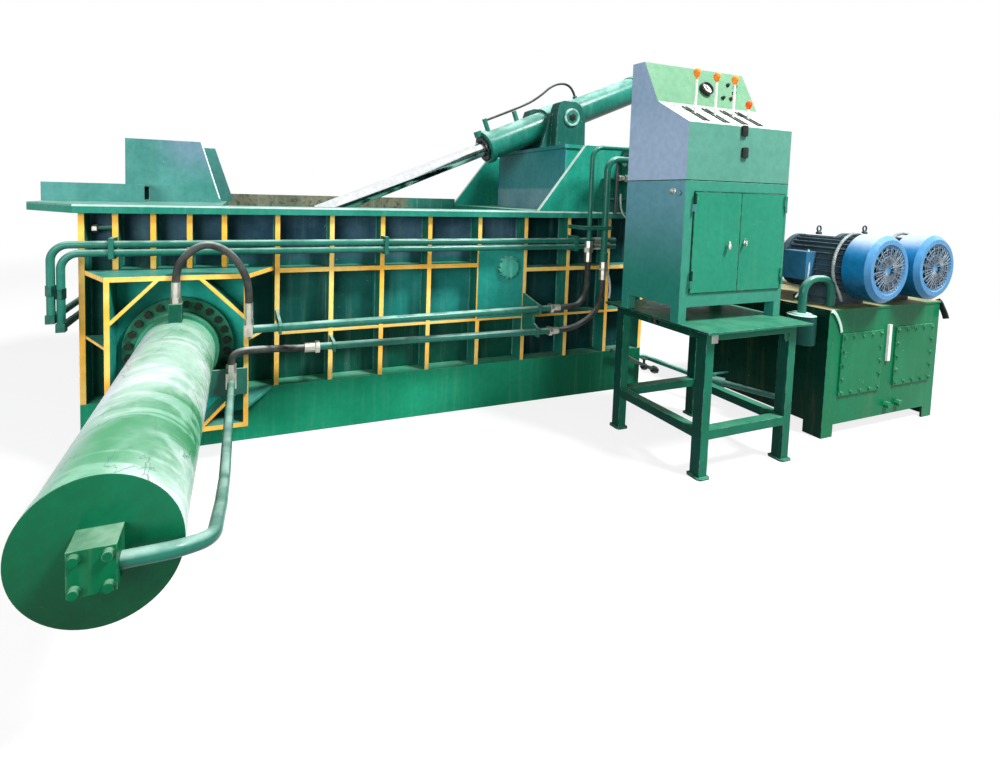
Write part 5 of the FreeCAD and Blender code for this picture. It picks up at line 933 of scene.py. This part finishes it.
# %% [markdown]
# Weld beads run down both sides of every rib, where it meets the wall. A welder lays them drop by drop,
# so their radius swells and sinks along the path.

# %% Weld beads
RIB_THICK, RIB_FOOT = 25, 273
bead_paint = Paint("bead_green", (0.030, 0.160, 0.125), (0.070, 0.230, 0.190), under=CHALK,
                   streaks=0.0, gloss=0.35, tone=20.0, chips=0.6)
ribs = [(0, RIB_FOOT), *((x, BRACKET_TOP) for x in range(136, 611, 158)),
        *((x, RIB_FOOT) for x in (*range(866, 1713, 282), *range(2032, 2987, 318)))]
beads = []
for rib, foot in ribs:
    for x in (rib - 1, rib + RIB_THICK + 1):
        if x < 0:
            continue
        z = np.arange(foot + 6, FLANGE_UNDER - 4, 5.5)
        r = 4.2 + 1.3 * np.abs(np.sin(z / 5.5 * 0.9)) + 0.4 * np.sin(z * 0.031 + x)
        path = np.stack([np.full_like(z, x), np.full_like(z, RIB_DEEP - 1), z], 1)
        beads.append(swept(path, r, 6, up=FRONT))
skin("weld_beads", "machine", bead_paint, beads)
print("beads:", len(beads))

# %% [markdown]
# The oil gauge gets its white dial. The ticks are not modelled: the material finds the angle round the
# dial's middle with an arctangent and darkens forty places round it, but for the lowest quarter. Below,
# a thin rim of painted shade darkens the dial's foot.

# %% The gauge's dial
TICKS = 40
out_of_panel = Vector((0.0, -0.911, 0.412))
middle = Vector((3024.0, -682 + 98 * 0.45, 1793 + 217 * 0.45)) + 12.2 * out_of_panel
dial = Paint("gauge_dial", (0.80, 0.80, 0.76), (0.86, 0.86, 0.83), streaks=0.0, chips=0.0,
             gloss=0.2, tone=20.0, dust_and_sheen_amount=0.1, shine=0.5)
tree = dial.tree
right_of = maths(tree, "SUBTRACT", dial.where["X"], metres("X", middle.x))
above = maths(tree, "SUBTRACT", dial.where["Z"], metres("Z", middle.z))
above = maths(tree, "DIVIDE", above, -out_of_panel.y)
angle = maths(tree, "ARCTAN2", right_of, above)
reach = maths(tree, "SQRT", maths(tree, "ADD", times(tree, right_of, right_of),
                                  times(tree, above, above)))
turns = maths(tree, "FRACT", maths(tree, "ADD", times(tree, angle, TICKS / math.tau), 20.5))
from_tick = maths(tree, "ABSOLUTE", maths(tree, "SUBTRACT", turns, 0.5))
off_top = maths(tree, "ABSOLUTE", angle)
marks = dial.all_of(ramp(tree, from_tick, 0.10, 0.16, 1.0, 0.0), ramp(tree, reach, 0.0215, 0.0222),
                    ramp(tree, reach, 0.0280, 0.0287, 1.0, 0.0), ramp(tree, off_top, 2.36, 2.38, 1.0, 0.0))
# painted shade along the lower rim of the dial
shaded_low_rim = dial.all_of(ramp(tree, reach, 0.0295, 0.0300), ramp(tree, off_top, 2.2, 2.3))
for mask in (marks, shaded_low_rim):
    dial.lay(mask, (0.01, 0.01, 0.012), (0.01, 0.01, 0.012))
skin("gauge_dial", "machine", dial,
     [lathed(middle, out_of_panel, [(0.0, 32.6), (0.5, 32.6), (0.8, 31.0), (0.9, 16.0)], 72)])
print("gauge dial at", [round(v) for v in middle])

# %% [markdown]
# The lid cylinder turns on pins. Each pin's end shows in a thick washer with a hexagon plug, and the
# barrel's front is closed with a notched locking ring, turned with a hook spanner.

# %% Pins, washers and locking ring
BARREL_FRONT = 637


def on_pins(y):
    """A point on the axis of the lid cylinder's pins."""
    return TRUNNION[0], y, TRUNNION[2]


washer_paint = Paint("washer_pale", (0.10, 0.28, 0.22), (0.34, 0.52, 0.46), under=(0.1, 0.2, 0.16),
                     streaks=0.0, gloss=0.25, tone=18.0, radius=0.002, shine=0.5)
ring = [(0, 47), (0, 66), (9, 66), (13, 62), (13, 52), (9, 47)]
skin("pin_washers", "machine", washer_paint,
     [lathed(on_pins(454.5), FRONT, ring, 56), lathed(on_pins(945.5), BACK, ring, 56)],
     looped=True)
skin("pin_plugs", "lid_cylinder", oxide,
     [nut(on_pins(457), FRONT, 58, 16), nut(on_pins(943), BACK, 58, 16)])
to_rod = np.array((-math.cos(LEAN), 0, -math.sin(LEAN)))
front = TRUNNION + BARREL_FRONT * to_rod
skin("locking_ring", "lid_cylinder", oxide,
     [lathed(front, to_rod, [(-3, 62), (-3, 96), (11, 96), (15, 92), (15, 66), (12, 62)], 96,
             notches=8)], looped=True)
print("locking ring at", front.round())

# %% [markdown]
# The fan cowls are closed with wire grilles: rings and spokes of thin bright wire on the slots' face.

# %% Wire grilles
MOTORS, MOTOR_LEVEL, COWL_FRONT = ((1, 4020), (2, 4460)), 950, -1000
wire_paint = Paint("grille_wire", (0.16, 0.18, 0.19), (0.30, 0.33, 0.34), streaks=0.0, gloss=0.5,
                   metal=0.4, radius=0.001, tone=30.0, shine=0.3)


def wire_ring(x, radius):
    """One round wire of the grille, its section a square on its corner, about a motor's axis."""
    section = [(0, radius - 1.4), (-1.4, radius), (0, radius + 1.4), (1.4, radius)]
    return lathed((x, COWL_FRONT - 1, MOTOR_LEVEL), FRONT, section, 64)


def wire_spoke(x, angle):
    """One spoke: straight out from 30 to 128 mm, and bowed forwards by a half sine of 3 mm."""
    s = np.linspace(30, 128, 8)
    bow = 1.2 + 3.0 * np.sin(math.pi * (s - 30) / 98)
    points = [x + s * math.sin(angle), COWL_FRONT - 0.5 - bow, MOTOR_LEVEL + s * math.cos(angle)]
    return swept(np.stack(points, 1), 1.3, 6, up=FRONT)


for number, x in MOTORS:
    skin(f"grille_rings_{number}", "machine", wire_paint,
         [wire_ring(x, radius) for radius in (44, 62, 80, 98, 116)], looped=True)
    skin(f"grille_spokes_{number}", "machine", wire_paint,
         [wire_spoke(x, math.tau * (i + 0.5) / 36) for i in range(36)])

# %% [markdown]
# The motors are fed by armoured cables, tied over their backs, and each has an eye to lift it by. The
# armour is a hose of steel rings, so its radius swells and sinks from one point of the path to the next.

# %% Cables and eyes
EYE_PLACE = -640
cable_paint = Paint("cable_grey", (0.20, 0.23, 0.24), (0.42, 0.46, 0.47), streaks=0.0, gloss=0.4,
                    tone=14.0, radius=0.002, dust_and_sheen_amount=0.4)
rope_paint = Paint("rope_white", (0.50, 0.52, 0.50), (0.66, 0.68, 0.66), streaks=0.0, gloss=0.6,
                   tone=30.0, radius=0.001)


def round_motor(x, y, out, low, high):
    """Points on a circle round a motor's axis: angle from low to high, in degrees from the top."""
    a = np.radians(np.linspace(low, high, 9))
    return np.stack([x + out * np.sin(a), np.full_like(a, y), MOTOR_LEVEL + out * np.cos(a)], 1)


for number, x in MOTORS:
    armour = curved([*round_motor(x, -835, 186, 30, -118), (x - 120, -835, 800),
                     (x - 90, -835, 748)], 14)
    swell = 8 + 1.1 * np.sin(np.arange(len(armour)) * 2.1)
    tail = curved([(x - 182, -700, 1030), (x - 196, -715, 960), (x - 205, -720, 880),
                   (x - 216, -700, 800), (x - 250, -690, 748)], 12)
    skin(f"cables_{number}", "machine", cable_paint, [swept(armour, swell, 10, up=FRONT)])
    skin(f"tails_{number}", "machine", rope_paint, [swept(tail, 5, 10, up=FRONT)])
    loop = np.radians(np.linspace(-140, 140, 25))
    eye = np.stack([x + 17 * np.sin(loop), np.full_like(loop, EYE_PLACE),
                    MOTOR_LEVEL + 200 + 17 * np.cos(loop)], 1)
    foot = lathed((x, EYE_PLACE, MOTOR_LEVEL + 166), UP, [(0, 15), (12, 15), (18, 9), (22, 7)], 24,
                  up=RIGHT)
    skin(f"lifting_eye_{number}", "machine", motor, [swept(eye, 4.5, 10, up=FRONT), foot])

# %% [markdown]
# The tower carries a row of unions and thin hoses beside its valve block. A union is two nuts screwed
# together, and zinc plated, as its yellow-grey shine tells. Black hoses carry oil, and the pale braided
# ones leak-off.

# %% Unions and thin hoses
black_hose = Paint("thin_hose", (0.016, 0.022, 0.022), (0.040, 0.050, 0.048), streaks=0.0, gloss=0.35,
                   tone=14.0, chips=0.0, shine=0.4)
pale_hose = Paint("braided_hose", (0.36, 0.42, 0.40), (0.56, 0.60, 0.58), streaks=0.0, gloss=0.35,
                  tone=60.0, chips=0.0)
unions = [nut((2975, -96, 1352), UP, 36, 30), nut((2975, -96, 1392), UP, 30, 22),
          nut((3008, -104, 1432), RIGHT, 40, 34), nut((3050, -104, 1432), RIGHT, 32, 30),
          nut((2958, -104, 1432), RIGHT, 32, 40), nut((3000, -104, 1528), RIGHT, 38, 30),
          nut((3036, -104, 1528), RIGHT, 30, 26), nut((2974, -110, 1322), UP, 28, 22)]
skin("tower_unions", "machine", zinc, unions)
skin("tower_hoses", "machine", black_hose, [
    swept(curved([(2944, -104, 1200), (2944, -106, 1380), (2946, -106, 1480), (2958, -106, 1538),
                  (3000, -106, 1570), (3070, -104, 1574), (3150, -100, 1562)]), 11, 14, up=FRONT),
    swept(curved([(3066, -104, 1528), (3110, -104, 1524), (3180, -100, 1500)]), 10, 14)])
skin("braided_hoses", "machine", pale_hose, [
    swept(curved([(2974, -112, 1330), (2974, -114, 1290), (2980, -116, 1240), (3002, -118, 1196),
                  (3040, -118, 1172), (3090, -118, 1168)]), 5, 12, up=FRONT),
    swept(curved([(2879, -126, 897), (2884, -128, 840), (2906, -126, 780), (2916, -124, 720),
                  (2914, -122, 664)]), 7, 12, up=FRONT)])

# %% [markdown]
# A drain hose lies behind the stand, down to the floor, with a cock near its end. The cock's two nuts are
# set along the hose, so they lean as it does.

# %% Drain hose and cock
DRAIN_LEAN = (0.92, 0, -0.37)
drain = curved([(3030, -36, 286), (3110, -38, 262), (3200, -40, 214), (3300, -40, 166),
                (3420, -40, 118)])
skin("drain_hose", "machine", black_hose, [swept(drain, 13, 14)])
skin("drain_cock", "machine", oxide, [
    nut((3385, -40, 130), DRAIN_LEAN, 44, 46), nut((3300, -40, 158), DRAIN_LEAN, 42, 30),
    lathed((3312, -40, 176), UP, [(0, 8), (26, 8), (28, 22), (34, 22)], 24, up=RIGHT)])

# %% [markdown]
# One door has a drop-shaped pull and the other a key in its lock. The drop is a short path whose radius
# rises and falls by a half sine, with its thick end low.

# %% Pull and key
s = np.linspace(0, 1, 14)
drop = np.stack([np.full_like(s, 2946), -890.5 - 3 * np.sin(np.pi * s), 1062 + 44 * s], 1)
skin("door_pull", "left_door", zinc, [
    swept(drop, 2.5 + 6.5 * np.sin(np.pi * s ** 0.7), 14, up=FRONT)])
skin("door_key", "right_door", zinc, [
    lathed((3055, -884, 1096), FRONT, [(0, 9), (5, 9), (8, 6), (14, 6)], 28),
    swept([(3055, -897, 1082), (3055, -899, 1090), (3055, -899, 1102), (3055, -897, 1110)], 3.2, 12,
          up=RIGHT)])

# %% [markdown]
# Two snap latches hold the upper case, and rubber seals lie along both sides of each lever's slot. Both
# are short bars with squared sections. A seal is laid along the desk's slope, a little above its sheet.

# %% Latches and seals
skin("case_latches", "machine", oxide, [
    swept([(x, -876.5, z - 24), (x, -878, z - 19), (x, -878, z + 19), (x, -876.5, z + 24)], 8, 16,
          up=FRONT, wide=2.3, power=5.0) for x, z in ((3019, 1646), (3029, 1540))])
up_desk = (DESK_HIGH - DESK_LOW) / np.linalg.norm(DESK_HIGH - DESK_LOW)
out_of_desk = np.array((0, -up_desk[2], up_desk[1]))
seals = []
for slot in (2795, 2928, 3053, 3161):
    for side in (-12.5, 12.5):
        low = DESK_LOW + (slot + side, 0, 0) + 26 * up_desk + 1.5 * out_of_desk
        seals.append(swept([low + s * up_desk for s in (0, 3, 30, 76, 122, 155, 158)], 4.2, 12,
                           up=out_of_desk, wide=1.7, power=3.5))
skin("slot_seals", "machine", black, seals)

# %% [markdown]
# A small box for the pedal's cable hangs from the stand's table, a plate braces its right corner and a
# knob sits under its left end. The cabinet has a lock on its left side.

# %% The stand's small pieces and the side lock
box_paint = Paint("box_grey", (0.34, 0.38, 0.36), (0.50, 0.53, 0.50), streaks=0.0, gloss=0.35,
                  tone=12.0, radius=0.002, chips=0.6)
skin("cable_box", "machine", box_paint, [
    swept([(2766, -978, 642), (2766, -978, 646), (2766, -978, 682), (2766, -978, 686)], 13, 20,
          up=FRONT, wide=1.7, power=7.0)])
skin("corner_plates", "machine", stand, [
    swept([(3272 - 46 * a, -984, 652 - 30 * (1 - a) + 30 * a) for a in np.linspace(0, 1, 6)],
          [20, 18, 14, 10, 6, 3], 12, up=UP, wide=0.14, power=6.0)])
skin("table_knob", "machine", oxide, [
    lathed((2700, -700, 692), DOWN, [(0, 12), (10, 14), (24, 14), (30, 8)], 28, up=RIGHT)])
skin("side_lock", "machine", zinc, [
    lathed((CASE_LEFT + 0.5, -809, 1343), LEFT, [(0, 15), (5, 15), (8, 11), (16, 11), (18, 8)], 28)])

# %% [markdown]
# The tank's left front corner has a bent strip of bright sheet, and a hook hangs at its right front. A
# short pipe with a fitting stands in the first upper bay of the press box.

# %% Strip, hook and short pipe
strip_paint = Paint("bright_strip", (0.45, 0.66, 0.56), (0.62, 0.78, 0.70), streaks=0.1, gloss=0.3,
                    tone=10.0, radius=0.001)
skin("bent_strip", "machine", strip_paint, [
    swept(curved([(3730, -902, 716), (3752, -904, 712), (3782, -904, 684), (3812, -904, 640),
                  (3832, -902, 594)]), 2.0, 16, up=FRONT, wide=4.5, power=5.0)])
skin("side_hook", "machine", oxide, [
    swept(curved([(4768, -880, 728), (4776, -890, 712), (4776, -904, 680), (4780, -914, 650),
                  (4775, -926, 618)]), 6, 14, up=RIGHT, wide=2.4, power=5.0)])
skin("bay_pipe", "machine", pipes, [
    swept([(62, 60, 1096), (80, 60, 1097), (136, 60, 1098)], 10, 20)])
skin("bay_fitting", "machine", zinc, [
    nut((40, 60, 1095), RIGHT, 34, 26), nut((51, 60, 1108), DOWN, 26, 40)])

# %% [markdown]
# The machine stands on a pale floor that runs out of sight, under a strong lamp high on the right and
# an even sky. The sky is white where the camera or a reflection sees it and dim where it lights, so that
# paints keep their colour. The floor adds a little of its own light for the camera and keeps the shadow.

# %% Floor and sky
floor_mesh = bpy.data.meshes.new("floor")
floor_mesh.from_pydata([(-40, -40, 0), (40, -40, 0), (40, 40, 0), (-40, 40, 0)], [], [(0, 1, 2, 3)])
floor = placed("floor", floor_mesh)


def seen_directly(tree):
    """One for rays of the camera, of reflections and of glass, and zero for light on the object."""
    path = node(tree, "ShaderNodeLightPath")
    by_mirror = maths(tree, "MAXIMUM", path.outputs["Is Glossy Ray"],
                      path.outputs["Is Transmission Ray"])
    return maths(tree, "MAXIMUM", path.outputs["Is Camera Ray"], by_mirror)


pale = bpy.data.materials.new("pale_floor")
pale.use_nodes = True
tree = pale.node_tree
distance = node(tree, "ShaderNodeVectorMath", operation="LENGTH")
wire(tree, node(tree, "ShaderNodeTexCoord").outputs["Object"], distance.inputs[0])
far = ramp(tree, distance.outputs["Value"], 4.0, 11.0)
feed(tree, tree.nodes["Principled BSDF"].inputs, {
    "Base Color": blend(tree, far, (0.22, 0.22, 0.22), (0.0, 0.0, 0.0)),
    "Roughness": 1.0, "Specular IOR Level": 0.0, "Emission Color": (1.0, 1.0, 1.0),
    "Emission Strength": times(tree, seen_directly(tree), ramp(tree, far, 0.0, 1.0, 0.82, 1.0))})
floor_mesh.materials.append(pale)

world = bpy.data.worlds.new("studio")
bpy.context.scene.world = world
world.use_nodes = True
tree = world.node_tree
feed(tree, tree.nodes["Background"].inputs, {
    "Color": (1.0, 1.0, 1.0), "Strength": ramp(tree, seen_directly(tree), 0.0, 1.0, 0.19, 1.0)})
print("floor and sky: pale_floor,", world.name)

# %% [markdown]
# One lamp makes the light and the shadows. The other, large and weak, opens the shadows on the left.


# %% Lamps
def soft_box(name, at, towards, wide, tall, watts):
    """A rectangular lamp at a place, facing another."""
    lamp = bpy.data.lights.new(name, "AREA")
    lamp.shape = "RECTANGLE"
    lamp.size = wide
    lamp.size_y = tall
    lamp.energy = watts
    made = placed(name, lamp)
    made.location = at
    made.rotation_mode = "QUATERNION"
    made.rotation_quaternion = (Vector(towards) - Vector(at)).to_track_quat("-Z", "Y")


soft_box("key", at=(3.9, -4.7, 7.8), towards=(0.2, -0.3, 0.5), wide=1.8, tall=1.8, watts=1450)
soft_box("fill", at=(-4.5, -5.5, 2.5), towards=(0.0, -0.3, 0.7), wide=4.0, tall=3.0, watts=330)
print("lamps: key and fill")
